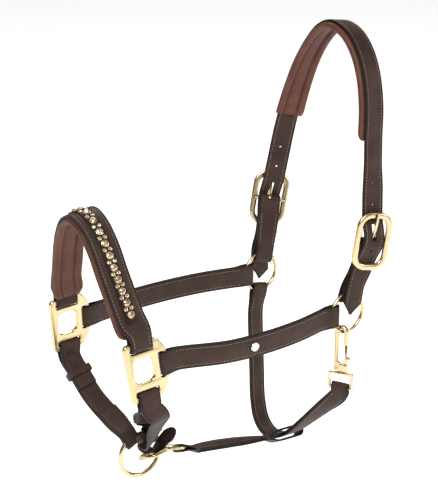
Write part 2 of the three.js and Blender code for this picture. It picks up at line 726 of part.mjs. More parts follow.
const inBuckle = (geometry, at = [0, 0, 0]) => {
  const matrix = new THREE.Matrix4().makeBasis(buckleAlong, buckleIn, buckleUp);
  return geometry.applyMatrix4(matrix.setPosition(...onBuckle(...at)));
};
{
  const { length, depth, rail, radius, thickness } = CHIN_BUCKLE;
  const frame = roundedRectangle(length, depth, radius);
  frame.holes.push(roundedRectangle(length - 2 * rail, depth - 2 * rail, radius - rail, 0, 0, THREE.Path));
  const middle = (HEEL.length - HEEL.rail) / 2;
  const heel = roundedRectangle(HEEL.length, HEEL.depth, 4, middle, 0);
  heel.holes.push(
    roundedRectangle(HEEL.length - 2 * HEEL.rail, HEEL.depth - 2 * HEEL.rail, 1, middle, 0, THREE.Path),
  );
  const bent = plate(heel, HEEL.rail, 0.8, 4).rotateY(radians(HEEL.bend)).translate(HINGE, 0, 0);
  addMesh("chin_buckle", inBuckle(joined(plate(frame, thickness, 1.2, 4), bent)), BRASS_LOOK);
  const front = -CHIN_BUCKLE.length / 2;
  const arm = [
    [HEEL_BAR[0] + 0.4, HEEL_BAR[1] + 2.8],
    [HINGE, 3],
    [HINGE - 2.6, 2.8],
    [HINGE - 5.4, 0.4],
    [4, -1.5],
    [-2, -1.8],
    [front + 7.5, -0.6],
    [front + 5, 2.9],
    [front + 0.8, 3.1],
    [front + 0.6, 7.6],
    [front + 3.6, 8],
    [front + 4.8, 5],
    [front + 9, 1.8],
    [-2, 0.1],
    [4, 0.2],
    [HINGE - 6.6, 2],
    [HINGE - 3.4, 4.3],
    [HINGE, 4.7],
    [HEEL_BAR[0] + 1, HEEL_BAR[1] + 4],
  ].reverse();
  const eye = new THREE.Shape().absarc(HEEL_BAR[0], HEEL_BAR[1], 4, 0, 2 * Math.PI, false);
  eye.holes.push(new THREE.Path().absarc(HEEL_BAR[0], HEEL_BAR[1], 2.6, 0, 2 * Math.PI, true));
  const flat = (shape) => new THREE.ExtrudeGeometry(shape, { depth: 3.4, bevelEnabled: false, curveSegments: 9 });
  const whole = joined(flat(eye), flat(new THREE.Shape(arm.map((p) => new THREE.Vector2(...p)))));
  addMesh("chin_tongue", inBuckle(whole.translate(0, 0, -1.7).rotateX(Math.PI / 2)), BRASS_LOOK);
}

// Near chin strap: round the lead ring, up the inside, over the near square's bottom bar, down the outside,
// onto the chin buckle's tongue, and its free end stands up out of the buckle.
const NEAR_FOLD = 60;
const nearRingAcross = [-0.866, 0, 0.5];
const backwards = (v) => [-v[0], v[1], -v[2]];
const nearTop = [
  { at: mirrored(onSquare(1, BOTTOM_BAR)), across: backwards(SQUARE_ALONG) },
  { at: mirrored(onSquare(1, BOTTOM_BAR - 14)), across: backwards(SQUARE_ALONG) },
];
const nearInner = new Lane([
  ...nearTop,
  { at: [-256, -62, -62], across: [-1, 0, 0.1] },
  { at: [-243, -42, -82], across: [-1, 0, 0.2] },
  { at: [-226, -18, -99], across: [-0.95, 0, 0.3] },
  { at: byLeadRing(NEAR_FOLD, 12), across: nearRingAcross },
  { at: byLeadRing(NEAR_FOLD, 0), across: nearRingAcross },
]);
const intoBuckle = buckleIn.clone().negate().toArray();
const nearOuter = new Lane([
  ...nearTop,
  { at: [-253, -84, -57], across: [-1, 0, -0.05] },
  { at: [-243.5, -63, -83], across: [-0.95, -0.3, 0] },
  { at: [-234.5, -40, -110], across: [-0.6, -0.75, 0.2] },
  { at: onBuckle(-8.5, -2, 15), across: intoBuckle },
  { at: onBuckle(-7, -0.5, 7), across: intoBuckle },
  { at: onBuckle(-3.8, 0, 3), across: intoBuckle },
  { at: onBuckle(0.5, 0, 2), across: intoBuckle },
  { at: onBuckle(5, -0.2, 3.6), across: intoBuckle },
  { at: onBuckle(12.5, -4, 9.4), across: [-0.08, -0.95, 0.2] },
  { at: onBuckle(20.5, -8, 13.4), across: [-0.08, -0.97, 0] },
  { at: onBuckle(28, -12, 17.5), across: [-0.05, -0.97, -0.15] },
]);
{
  const end = nearOuter.length;
  const broad = narrowing(nearInner);
  const tip = (distance) => {
    const [narrow, pointed] = [CHIN_WIDTH - (distance / end) * 4, 9 + (end - distance) * 1.6];
    return Math.min(narrow, pointed);
  };
  const inner = [
    ...leadFold(nearInner.length, 1, 44),
    [24, -LAYER],
    [7, -BAR_TURN - 0.2],
    ...turn(-BAR_BACK, 0, BAR_TURN, 270, 90),
  ];
  const drop = nearOuter.marks[4];
  const bends = 16;
  const fine = Array.from({ length: bends + 1 }, (_, i) => [drop + ((end - drop) * i) / bends, 0]);
  const outer = [[7, BAR_TURN + 0.2], [20, 1], [32, 0], ...fine];
  const rows = [...strapRows(nearInner, inner, broad, LEATHER), ...strapRows(nearOuter, outer, tip, LEATHER)];
  const slot = new THREE.BoxGeometry(4.6, 13, 10);
  const band = cut(skin(rows, false), nearOuter.place(slot, nearOuter.marks[6] + 1, 0));
  addMesh("near_chin_strap", band, LEATHER_LOOK);
  addMesh("near_chin_keeper", nearInner.place(keeper(CHIN_WIDTH), nearInner.length - 32, 0), LEATHER_LOOK);
}

// ---- throat strap ----

const EYE_BAR = [-6.5, -81, -90];
const EYE = { width: 30, height: 21, rail: 3.3, thickness: 3.4 };
const THROAT_TURN = EYE.thickness / 2 + GAP + THIN_LEATHER / 2;
const SNAP_ACROSS = [-0.53, 0.85, 0];
const throat = new Lane([
  { at: EYE_BAR, across: SNAP_ACROSS },
  { at: [-6.7, -80.6, -97], across: SNAP_ACROSS },
  { at: [-8, -76, -103.5], across: SNAP_ACROSS },
  { at: [-12, -58, -122], across: [-0.8, 0.55, 0] },
  { at: [-16, -37, -144], across: [-0.95, 0.3, 0] },
  { at: [-20, -16, -165], across: [-1, 0.05, 0] },
  { at: [-21.5, 0, -176.5], across: [-1, 0, 0] },
  { at: [-21.5, 16, -184.5], across: [-1, 0, 0] },
  { at: [-20, 36, -186.5], across: [-1, 0, 0] },
  { at: [-16.5, 55, -178], across: [-1, 0, 0] },
  { at: [-13, 67, -157], across: [-1, 0, 0.05] },
  { at: [-11, 72, -123], across: [-1, 0, 0.1] },
  { at: [-9, 77, -86], across: [-1, 0, 0.15] },
  { at: [-7.4, 80.5, -48], across: [-0.97, 0, 0.2] },
  { at: [-4.6, 81, -32], across: [-0.98, 0, 0.15] },
  { at: [-2.8, 81, -22.3], across: [-0.98, 0, 0.15] },
]);
{
  const end = throat.length;
  const layer = THIN_LEATHER / 2 + GAP / 2;
  const reach = ringBack(RING_RADIUS, THIN_WIDTH) + 1.5;
  const path = [
    ...turn(-2.2, 0, THROAT_TURN, 270, 90),
    [5, THROAT_TURN],
    [15, layer],
    [end - 16, layer],
    [end - 4, RING_FOLD],
    ...turn(end + reach, 0, RING_FOLD, 90, -90),
    [end - 4, -RING_FOLD],
    [end - 16, -layer],
    [15, -layer],
    [5, -THROAT_TURN],
  ];
  addMesh("throat_strap", strap(throat, path, THIN_WIDTH, THIN_LEATHER, true), LEATHER_LOOK);
}

// ---- jaw strap ----

const JAW_WIDTH = 18;
const jawLevel = [0, 0.87, -0.49];
const jaw = new Lane([
  { at: onBuckle(HEEL_BAR[0], 0, HEEL_BAR[1]), across: buckleIn.toArray() },
  { at: onBuckle(HEEL_BAR[0] + 11, 0.2, HEEL_BAR[1] - 4), across: [0, 0.93, -0.36] },
  { at: [-166, -18, -147.6], across: [0, 0.98, -0.2] },
  { at: [-147, -14, -151.6], across: [0, 1, -0.05] },
  { at: [-122, -9, -157.4], across: [0, 1, 0] },
  { at: [-90, -4, -165], across: [0, 1, -0.05] },
  { at: [-62, 0, -171.5], across: [0, 0.97, -0.25] },
  { at: [-40, 0, -175.5], across: jawLevel },
  { at: [-4, 0, -177], across: jawLevel },
]);
{
  const end = jaw.length;
  const turned = HEEL.rail / 2 + GAP + THIN_LEATHER / 2 + 0.4;
  const layer = THIN_LEATHER / 2 + GAP / 2;
  const around = 2 * THIN_LEATHER + GAP + 1.2; // height left for the throat strap inside the loop
  const path = [
    ...turn(0, 0, turned, 270, 90),
    [12, layer],
    [end - 44, layer],
    [end - 34, around],
    [end - 5, around],
    ...turn(end - 3, 0, around, 75, -75, 5),
    [end - 5, -around],
    [end - 34, -around],
    [end - 44, -layer],
    [12, -layer],
  ];
  const band = strap(jaw, path, JAW_WIDTH, THIN_LEATHER, true);
  const slot = new THREE.BoxGeometry(4.6, 22, 16).translate(0, -3, 0);
  addMesh("jaw_strap", cut(band, jaw.place(slot, 0, 0)), LEATHER_LOOK);
  const rivet = new THREE.CylinderGeometry(2.6, 3, 1.2, 12).rotateX(Math.PI / 2);
  addMesh("jaw_rivet", jaw.place(rivet, end - 54, layer + THIN_LEATHER / 2 + GAP + 0.7), BRASS_LOOK);
}

// ---- snap hook ----

const SNAP_X = -6.3;
const HOOK = { gap: 3.8, leg: 4.5, thick: 5, top: -13.4, nose: -36.5, block: -60, foot: -69.5 };
const BOLT = { radius: 1.6, across: 6, knob: -52.4, foot: -62.4, bore: 2.1, depth: 9 };
const hookFacing = new THREE.Vector3(0.35, -0.937, 0).normalize();

// Puts a geometry drawn with x towards the hook's open side and y up on the snap's axis.
function onSnap(geometry, facing) {
  const up = new THREE.Vector3(0, 0, 1);
  const matrix = new THREE.Matrix4().makeBasis(facing, up, facing.clone().cross(up));
  return geometry.applyMatrix4(matrix.setPosition(SNAP_X, -RING_Y, 0));
}

function hookShape() {
  const outer = HOOK.gap + HOOK.leg;
  const bend = HOOK.top - outer;
  const shape = new THREE.Shape();
  shape.moveTo(outer, HOOK.nose);
  shape.lineTo(outer, bend);
  shape.absarc(0, bend, outer, 0, Math.PI, false);
  shape.lineTo(-outer, HOOK.foot);
  shape.lineTo(outer, HOOK.foot);
  shape.lineTo(outer, HOOK.block);
  shape.lineTo(-HOOK.gap, HOOK.block);
  shape.lineTo(-HOOK.gap, bend);
  shape.absarc(0, bend, HOOK.gap, Math.PI, 0, true);
  shape.lineTo(HOOK.gap, HOOK.nose);
  shape.closePath();
  return shape;
}

function snapSpring() {
  const [turns, perTurn, radius] = [3, 8, 1.3];
  const foot = HOOK.block - BOLT.depth + 0.7;
  const height = BOLT.foot - 0.7 - foot;
  const coil = Array.from({ length: turns * perTurn + 1 }, (_, i) => {
    const angle = (2 * Math.PI * i) / perTurn;
    const up = foot + (height * i) / (turns * perTurn);
    return new THREE.Vector3(BOLT.across + radius * Math.cos(angle), up, radius * Math.sin(angle));
  });
  return new THREE.ExtrudeGeometry(new THREE.Shape().absarc(0, 0, 0.3, 0, 2 * Math.PI, false), {
    steps: turns * 10,
    curveSegments: 3,
    bevelEnabled: false,
    extrudePath: new THREE.CatmullRomCurve3(coil),
  });
}

{
  const boltBore = new THREE.CylinderGeometry(BOLT.bore, BOLT.bore, 12, 14);
  const neckBore = new THREE.CylinderGeometry(2.2, 2.2, 12, 14);
  const body = cut(
    plate(hookShape(), HOOK.thick, 0.7, 6),
    boltBore.translate(BOLT.across, HOOK.block - BOLT.depth + 6, 0),
    neckBore.translate(0, HOOK.foot - 6 + 5, 0),
  );
  addMesh("snap_body", onSnap(body, hookFacing), BRASS_LOOK);
  const top = HOOK.nose - GAP;
  const rod = new THREE.CylinderGeometry(BOLT.radius, BOLT.radius, top - BOLT.foot, 12);
  const knob = new THREE.CylinderGeometry(1.5, 1.9, 5, 10).rotateZ(-Math.PI / 2);
  const bolt = joined(
    rod.translate(BOLT.across, (top + BOLT.foot) / 2, 0),
    knob.translate(BOLT.across + 2.6, BOLT.knob, 0),
  );
  addMesh("snap_bolt", onSnap(bolt, hookFacing), BRASS_LOOK);
  addMesh("snap_spring", onSnap(snapSpring(), hookFacing), BRASS_LOOK);
  const { width, height, rail, thickness } = EYE;
  const middle = EYE_BAR[2] + height / 2 - rail / 2;
  const outline = roundedRectangle(width, height, 2.4, 0, middle);
  outline.holes.push(roundedRectangle(width - 2 * rail, height - 2 * rail, 0.8, 0, middle, THREE.Path));
  const neckTop = HOOK.foot + 4.5;
  const neckFoot = middle + height / 2 - 1;
  const neck = new THREE.CylinderGeometry(1.8, 1.8, neckTop - neckFoot, 12);
  const eye = joined(plate(outline, thickness, 0.8, 4), neck.translate(0, (neckTop + neckFoot) / 2, 0));
  addMesh("snap_eye", onSnap(eye, vector(SNAP_ACROSS).negate().normalize()), BRASS_LOOK);
}

// The origin is on the crown lining's inner face, at the top.
const POLL = [CROWN_TOP[0], 0, CROWN_TOP[2] - LEATHER / 2 - GAP - PAD + 0.5];
root.position.set(-POLL[0], -POLL[1], -POLL[2]);

export default root;
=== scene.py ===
"""A leather headcollar with padded crown and noseband, brass fittings and a crystal inlay."""
import math
import random

import bmesh
import bpy
import numpy as np
from mathutils import Matrix, Vector


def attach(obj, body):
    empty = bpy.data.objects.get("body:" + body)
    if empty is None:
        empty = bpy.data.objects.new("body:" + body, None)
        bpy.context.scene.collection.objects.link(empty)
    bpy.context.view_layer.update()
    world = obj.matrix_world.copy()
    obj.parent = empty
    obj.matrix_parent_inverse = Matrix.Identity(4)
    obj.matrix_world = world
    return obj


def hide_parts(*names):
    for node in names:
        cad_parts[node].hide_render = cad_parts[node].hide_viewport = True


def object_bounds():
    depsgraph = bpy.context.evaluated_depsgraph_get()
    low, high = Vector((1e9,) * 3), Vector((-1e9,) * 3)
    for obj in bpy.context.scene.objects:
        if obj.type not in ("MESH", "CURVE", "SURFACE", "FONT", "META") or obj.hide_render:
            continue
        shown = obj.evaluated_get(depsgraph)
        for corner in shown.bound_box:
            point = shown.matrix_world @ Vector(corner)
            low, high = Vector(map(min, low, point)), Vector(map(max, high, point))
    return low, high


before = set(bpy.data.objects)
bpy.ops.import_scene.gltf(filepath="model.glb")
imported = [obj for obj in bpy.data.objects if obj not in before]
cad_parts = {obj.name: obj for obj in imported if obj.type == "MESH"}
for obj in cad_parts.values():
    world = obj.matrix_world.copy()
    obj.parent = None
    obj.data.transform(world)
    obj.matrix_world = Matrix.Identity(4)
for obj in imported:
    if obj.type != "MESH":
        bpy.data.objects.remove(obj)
cad_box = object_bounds()
random.seed(7)

# Driving dimensions, in millimetres, about the line through the two cheek rings.
POLL = np.array([45.0, 0.0, 301.2])
MM = 0.001
GAP = 0.4
STRAP_WIDTH = 25
THIN_WIDTH = 20
LEATHER = 2.8
THIN_LEATHER = 2.2
RING_RADIUS = 22.5
RING_WIRE = 2.2
RING_Y = 81
LEAD_RADIUS = 25.5
LEAD_WIRE = 2.7
SQUARE_THICKNESS = 4.4
SQUARE_CENTRE = (-267, 79, -2.2)
SQUARE_TURN = (-0.8, -5.5, -4.3)  # toe, lean and pitch in degrees
NOSEBAND_WIDTH = 32
PAD = 7.5
CROWN_PAD_WIDTH = 33.5
STEP = 2.4  # longest stretch of strap between two rows of points
STITCH_PITCH = 3.3
STITCH_INSET = 3.4


def unit(v):
    v = np.asarray(v, float)
    return v / np.linalg.norm(v)


def mirrored(p):
    return (p[0], -p[1], p[2])


def ramp(x, low, high):
    share = min(1.0, max(0.0, (x - low) / (high - low)))
    return share * share * (3 - 2 * share)


# ---- materials ----


def material(name, **sockets):
    """A new material, its shader's sockets set to these values, and a function that adds a node."""
    made = bpy.data.materials.new(name)
    made.use_nodes = True
    tree = made.node_tree
    shader = tree.nodes["Principled BSDF"]
    for socket, value in sockets.items():
        shader.inputs[socket.replace("_", " ")].default_value = value

    def add(kind, **inputs):
        node = tree.nodes.new("ShaderNode" + kind)
        for key, value in inputs.items():
            key = key.replace("_", " ")
            if isinstance(value, bpy.types.NodeSocket):
                tree.links.new(value, node.inputs[key])
            else:
                node.inputs[key].default_value = value
        return node

    return made, add


def linked(made, **sockets):
    """Links outputs to the sockets of a material's shader."""
    tree = made.node_tree
    for socket, output in sockets.items():
        tree.links.new(output, tree.nodes["Principled BSDF"].inputs[socket.replace("_", " ")])
    return made


def ramped(add, factor, stops):
    node = add("ValToRGB", Fac=factor)
    for element, (position, colour) in zip(node.color_ramp.elements, (stops[0], stops[-1])):
        element.position = position
        element.color = colour
    for position, colour in stops[1:-1]:
        node.color_ramp.elements.new(position).color = colour
    return node.outputs["Color"]


def maths(add, operation, *values):
    node = add("Math")
    node.operation = operation
    for index, value in enumerate(values):
        if isinstance(value, bpy.types.NodeSocket):
            node.id_data.links.new(value, node.inputs[index])
        else:
            node.inputs[index].default_value = value
    return node.outputs[0]


def blended(add, kind, factor, a, b):
    node = add("MixRGB", Color1=a, Color2=b, Fac=factor)
    node.blend_type = kind
    return node.outputs[0]


def leather(name, dark, light, edge, grain, roughness, coat):
    made, add = material(name, Specular_IOR_Level=0.24, Coat_Weight=coat, Coat_Roughness=0.32)
    where = add("TexCoord").outputs["Object"]
    lay = add("Attribute")
    lay.attribute_name = "lay"
    parts = add("SeparateXYZ", Vector=lay.outputs["Vector"])
    clouds = add("TexNoise", Vector=where, Scale=38.0, Detail=5.0, Roughness=0.6).outputs["Fac"]
    fine = add("TexNoise", Vector=where, Scale=900.0, Detail=3.0, Roughness=0.7).outputs["Fac"]
    pores = add("TexVoronoi", Vector=where, Scale=grain)
    pores.feature = "DISTANCE_TO_EDGE"
    creases = add("TexNoise", Vector=where, Scale=160.0, Detail=6.0, Roughness=0.75).outputs["Fac"]
    base = ramped(add, clouds, [(0.3, dark), (0.72, light)])
    speck = ramped(add, fine, [(0.3, (0.78, 0.78, 0.78, 1)), (0.7, (1.12, 1.12, 1.12, 1))])
    base = blended(add, "MULTIPLY", 0.8, base, speck)
    # lay.z mixes in the edge colour: darker along strap edges, creases and stitch channels, and painted shade
    # in the seam valleys of the padded linings.
    base = blended(add, "MIX", parts.outputs["Z"], base, edge)
    rough = maths(add, "MULTIPLY_ADD", creases, 0.22, roughness)
    relief = maths(add, "MINIMUM", pores.outputs["Distance"], 0.12)
    relief = maths(add, "ADD", maths(add, "MULTIPLY", relief, 2.4), maths(add, "MULTIPLY", creases, 0.9))
    bump = add("Bump", Height=relief, Strength=0.32, Distance=0.00022)
    return linked(made, Base_Color=base, Roughness=rough, Normal=bump.outputs["Normal"])


# deep is the colour of the shade painted into hollows that ambient occlusion finds.
def metal(name, colour, deep, roughness):
    made, add = material(name, Metallic=1.0, Coat_Weight=0.12, Coat_Roughness=0.2)
    where = add("TexCoord").outputs["Object"]
    patina = add("TexNoise", Vector=where, Scale=55.0, Detail=4.0, Roughness=0.55).outputs["Fac"]
    grain = add("TexNoise", Vector=where, Scale=1400.0, Detail=2.0, Roughness=0.6).outputs["Fac"]
    # Painted shade: ambient occlusion mixes the dark deep colour into the metal in hollows and tight corners.
    painted_cavity_shade = add("AmbientOcclusion", Distance=0.004)
    painted_cavity_shade.samples = 8
    tone = ramped(add, patina, [(0.3, colour), (0.75, tuple(c * 0.93 for c in colour[:3]) + (1,))])
    tone = blended(add, "MIX", maths(add, "POWER", painted_cavity_shade.outputs["AO"], 1.6), deep, tone)
    rough = maths(add, "MULTIPLY_ADD", patina, 0.14, roughness)
    bump = add("Bump", Height=grain, Strength=0.12, Distance=0.00006)
    return linked(made, Base_Color=tone, Roughness=rough, Normal=bump.outputs["Normal"])


def thread(name, colour, dark):
    made, add = material(name, Roughness=0.72, Sheen_Weight=0.15)
    where = add("TexCoord").outputs["Object"]
    twist = add("TexWave", Vector=where, Scale=1100.0, Distortion=1.2, Detail=1.0).outputs["Fac"]
    fade = add("TexNoise", Vector=where, Scale=60.0, Detail=2.0).outputs["Fac"]
    tone = ramped(add, maths(add, "MULTIPLY", twist, fade), [(0.1, dark), (0.6, colour)])
    bump = add("Bump", Height=twist, Strength=0.4, Distance=0.00012)
    return linked(made, Base_Color=tone, Normal=bump.outputs["Normal"])


def crystal(name):
    made, add = material(name, Metallic=0.75, Roughness=0.07, Coat_Weight=0.8, Coat_Roughness=0.03)
    lay = add("Attribute")
    lay.attribute_name = "lay"
    # Painted reflections: each facet's random lay.x level, with a little noise, picks a colour from dark
    # brown to a near-white painted highlight.
    facet_glint = add("SeparateXYZ", Vector=lay.outputs["Vector"]).outputs["X"]
    depth = add("TexNoise", Vector=add("TexCoord").outputs["Object"], Scale=420.0, Detail=2.0).outputs["Fac"]
    mix = maths(add, "ADD", maths(add, "MULTIPLY", facet_glint, 0.75), maths(add, "MULTIPLY", depth, 0.3))
    glint_shades = [
        (0.12, (0.16, 0.07, 0.035, 1)),
        (0.35, (0.55, 0.33, 0.19, 1)),
        (0.6, (0.9, 0.7, 0.48, 1)),
        (0.9, (1.0, 0.93, 0.82, 1)),
    ]
    return linked(made, Base_Color=ramped(add, mix, glint_shades))


DARK_LEATHER = leather(
    "dark_leather",
    dark=(0.029, 0.0135, 0.0088, 1),
    light=(0.058, 0.0300, 0.0205, 1),
    edge=(0.011, 0.006, 0.0045, 1),
    grain=1900.0,
    roughness=0.42,
    coat=0.04,
)
LINING_LEATHER = leather(
    "lining_leather",
    dark=(0.090, 0.030, 0.018, 1),
    light=(0.155, 0.060, 0.039, 1),
    # For the lining the edge colour is the painted shade in the seam valleys.
    edge=(0.075, 0.025, 0.015, 1),
    grain=1500.0,
    roughness=0.42,
    coat=0.04,
)
CHANNEL_LEATHER = leather(
    "channel_leather",
    dark=(0.010, 0.006, 0.005, 1),
    light=(0.022, 0.013, 0.010, 1),
    edge=(0.010, 0.007, 0.006, 1),
    grain=1900.0,
    roughness=0.4,
    coat=0.1,
)
# The second colour of each metal is the painted shade for its hollows.
BRASS = metal("satin_brass", (0.76, 0.60, 0.345, 1), (0.34, 0.19, 0.07, 1), 0.17)
PALE_METAL = metal("pale_metal", (0.9, 0.88, 0.84, 1), (0.4, 0.36, 0.32, 1), 0.24)
TAN_THREAD = thread("tan_thread", (0.42, 0.29, 0.21, 1), (0.2, 0.125, 0.085, 1))
RED_THREAD = thread("red_thread", (0.21, 0.075, 0.05, 1), (0.08, 0.026, 0.018, 1))
CRYSTAL = crystal("champagne_crystal")


# ---- meshes ----


def row_frame(points):
    return (np.asarray(points, float) - POLL) * MM


class Parts:
    """Points, in millimetres about the ring line, and faces collected for one piece."""

    def __init__(self):
        self.points, self.faces, self.lay = [], [], []

    def add(self, points, faces, lay=None, matrix=None):
        base = len(self.points)
        points = np.asarray(points, float)
        if matrix is not None:
            points = points @ matrix[:3, :3].T + matrix[:3, 3]
        self.points.extend(points)
        self.faces.extend([tuple(i + base for i in face) for face in faces])
        self.lay.extend(lay if lay is not None else [(0.0, 0.0, 0.0)] * len(points))
        return self

    def make(self, name, look, body, replaces=(), slot=None, sharp=40):
        mesh = bpy.data.meshes.new(name)
        mesh.from_pydata([tuple(p) for p in row_frame(self.points)], [], self.faces)
        values = mesh.attributes.new("lay", "FLOAT_VECTOR", "POINT")
        values.data.foreach_set("vector", np.asarray(self.lay, np.float32).ravel())
        work = bmesh.new()
        work.from_mesh(mesh)
        bmesh.ops.recalc_face_normals(work, faces=work.faces)
        work.to_mesh(mesh)
        work.free()
        mesh.materials.append(look)
        mesh.shade_smooth()
        mesh.set_sharp_from_angle(angle=math.radians(sharp))
        piece = bpy.data.objects.new(name, mesh)
        bpy.context.scene.collection.objects.link(piece)
        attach(piece, body)
        if replaces:
            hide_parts(*replaces)
        return piece


def placed(x, y, z, at):
    matrix = np.eye(4)
    matrix[:3, 0], matrix[:3, 1], matrix[:3, 2], matrix[:3, 3] = x, y, z, at
    return matrix


def shifted(at):
    return placed((1, 0, 0), (0, 1, 0), (0, 0, 1), at)


def upright(at):
    """Stands a shape turned about z along the y axis."""
    return placed((1, 0, 0), (0, 0, -1), (0, 1, 0), at)


def grid_faces(rows, sides, closed, caps=True):
    faces = []
    for row in range(rows if closed else rows - 1):
        after = (row + 1) % rows
        for side in range(sides):
            other = (side + 1) % sides
            face = ((row, side), (row, other), (after, other), (after, side))
            faces.append(tuple(r * sides + k for r, k in face))
    if not closed and caps:
        faces.append(tuple(range(sides)))
        faces.append(tuple(range((rows - 1) * sides, rows * sides)))
    return faces


def superellipse(a, b, power=2.6, sides=20):
    angles = np.linspace(0, 2 * math.pi, sides, endpoint=False)
    c, s = np.cos(angles), np.sin(angles)
    return np.stack(
        [a * np.sign(c) * np.abs(c) ** (2 / power), b * np.sign(s) * np.abs(s) ** (2 / power)], axis=1
    )


def rounded(width, height, radius, centre=(0, 0), steps=9):
    """Points round a rectangle with rounded corners, and the outward direction at each."""
    x, y = width / 2 - radius, height / 2 - radius
    points, outward = [], []
    for sx, sy, start in ((1, -1, -90), (1, 1, 0), (-1, 1, 90), (-1, -1, 180)):
        for step in range(steps + 1):
            angle = math.radians(start + 90 * step / steps)
            away = np.array([math.cos(angle), math.sin(angle)])
            points.append(np.array([sx * x, sy * y]) + radius * away + centre)
            outward.append(away)
    return np.array(points), np.array(outward)


def loop(width, height, rail, radius, thickness, centre=(0, 0), power=2.6):
    """A frame with a rounded section, lying in the xy plane."""
    points, outward = rounded(width - rail, height - rail, max(radius - rail / 2, 0.6), centre)
    ring = superellipse(rail / 2, thickness / 2, power)
    rows = [
        [(p[0] + o[0] * a, p[1] + o[1] * a, b) for a, b in ring]
        for p, o in zip(points, outward)
    ]
    return np.array(rows).reshape(-1, 3), grid_faces(len(rows), len(ring), True)


def tube(points, wide, deep, side, power=2.2, sides=14, taper=None):
    """A solid round or flat bar along points; side is the direction of its width."""
    points = np.asarray(points, float)
    runs = np.gradient(points, axis=0)
    rows = []
    for i, (p, run) in enumerate(zip(points, runs)):
        along = unit(run)
        across = unit(np.asarray(side, float) - along * np.dot(side, along))
        up = np.cross(along, across)
        scale = taper[i] if taper is not None else 1.0
        ring = superellipse(wide / 2, deep / 2, power, sides) * scale
        rows.append([p + across * a + up * b for a, b in ring])
    return np.array(rows).reshape(-1, 3), grid_faces(len(rows), sides, False)


def smooth_points(points, count):
    """A smooth curve through the points, evenly spread."""
    lane = Lane([(p, (0, 0, 1)) for p in points])
    return [lane.at(lane.length * i / (count - 1))[0] for i in range(count)]


def lathe(profile, sides=32):
    """A solid turned about z from (radius, height) points; the first and last lie on the axis."""
    points, faces = [(0, 0, profile[0][1])], []
    for radius, height in profile[1:-1]:
        for i in range(sides):
            angle = 2 * math.pi * i / sides
            points.append((radius * math.cos(angle), radius * math.sin(angle), height))
    points.append((0, 0, profile[-1][1]))
    rows = len(profile) - 2
    for side in range(sides):
        other = (side + 1) % sides
        faces.append((0, 1 + side, 1 + other))
        last = 1 + (rows - 1) * sides
        faces.append((last + side, len(points) - 1, last + other))
        for row in range(rows - 1):
            a = 1 + row * sides
            faces.append((a + side, a + sides + side, a + sides + other, a + other))
    return np.array(points), faces


def torus(radius, wire, segments=96, sides=20):
    """A ring about the y axis."""
    rows, ring = [], superellipse(wire, wire, 2, sides)
    for i in range(segments):
        angle = 2 * math.pi * i / segments
        out = np.array([math.cos(angle), 0, math.sin(angle)])
        rows.append([out * (radius + a) + np.array([0, b, 0]) for a, b in ring])
    return np.array(rows).reshape(-1, 3), grid_faces(segments, sides, True)


def plate(outline, holes, thickness, bevel):
    """A flat plate with rounded edges, from outlines in the xy plane."""
    curve = bpy.data.curves.new("plate", "CURVE")
    curve.dimensions = "2D"
    curve.fill_mode = "BOTH"
    for points in [outline, *holes]:
        spline = curve.splines.new("POLY")
        spline.points.add(len(points) - 1)
        for place, (x, y) in zip(spline.points, points):
            place.co = (x, y, 0, 1)
        spline.use_cyclic_u = True
    curve.extrude = thickness / 2 - bevel
    curve.bevel_depth = bevel
    curve.bevel_resolution = 3
    curve.offset = -bevel
    holder = bpy.data.objects.new("plate", curve)
    bpy.context.scene.collection.objects.link(holder)
    mesh = bpy.data.meshes.new_from_object(holder.evaluated_get(bpy.context.evaluated_depsgraph_get()))
    work = bmesh.new()
    work.from_mesh(mesh)
    bmesh.ops.remove_doubles(work, verts=work.verts, dist=1e-4)
    points = np.array([v.co[:] for v in work.verts])
    faces = [tuple(v.index for v in f.verts) for f in work.faces]
    work.free()
    bpy.data.objects.remove(holder)
    bpy.data.curves.remove(curve)
    bpy.data.meshes.remove(mesh)
    return points, faces


# ---- lanes and straps ----


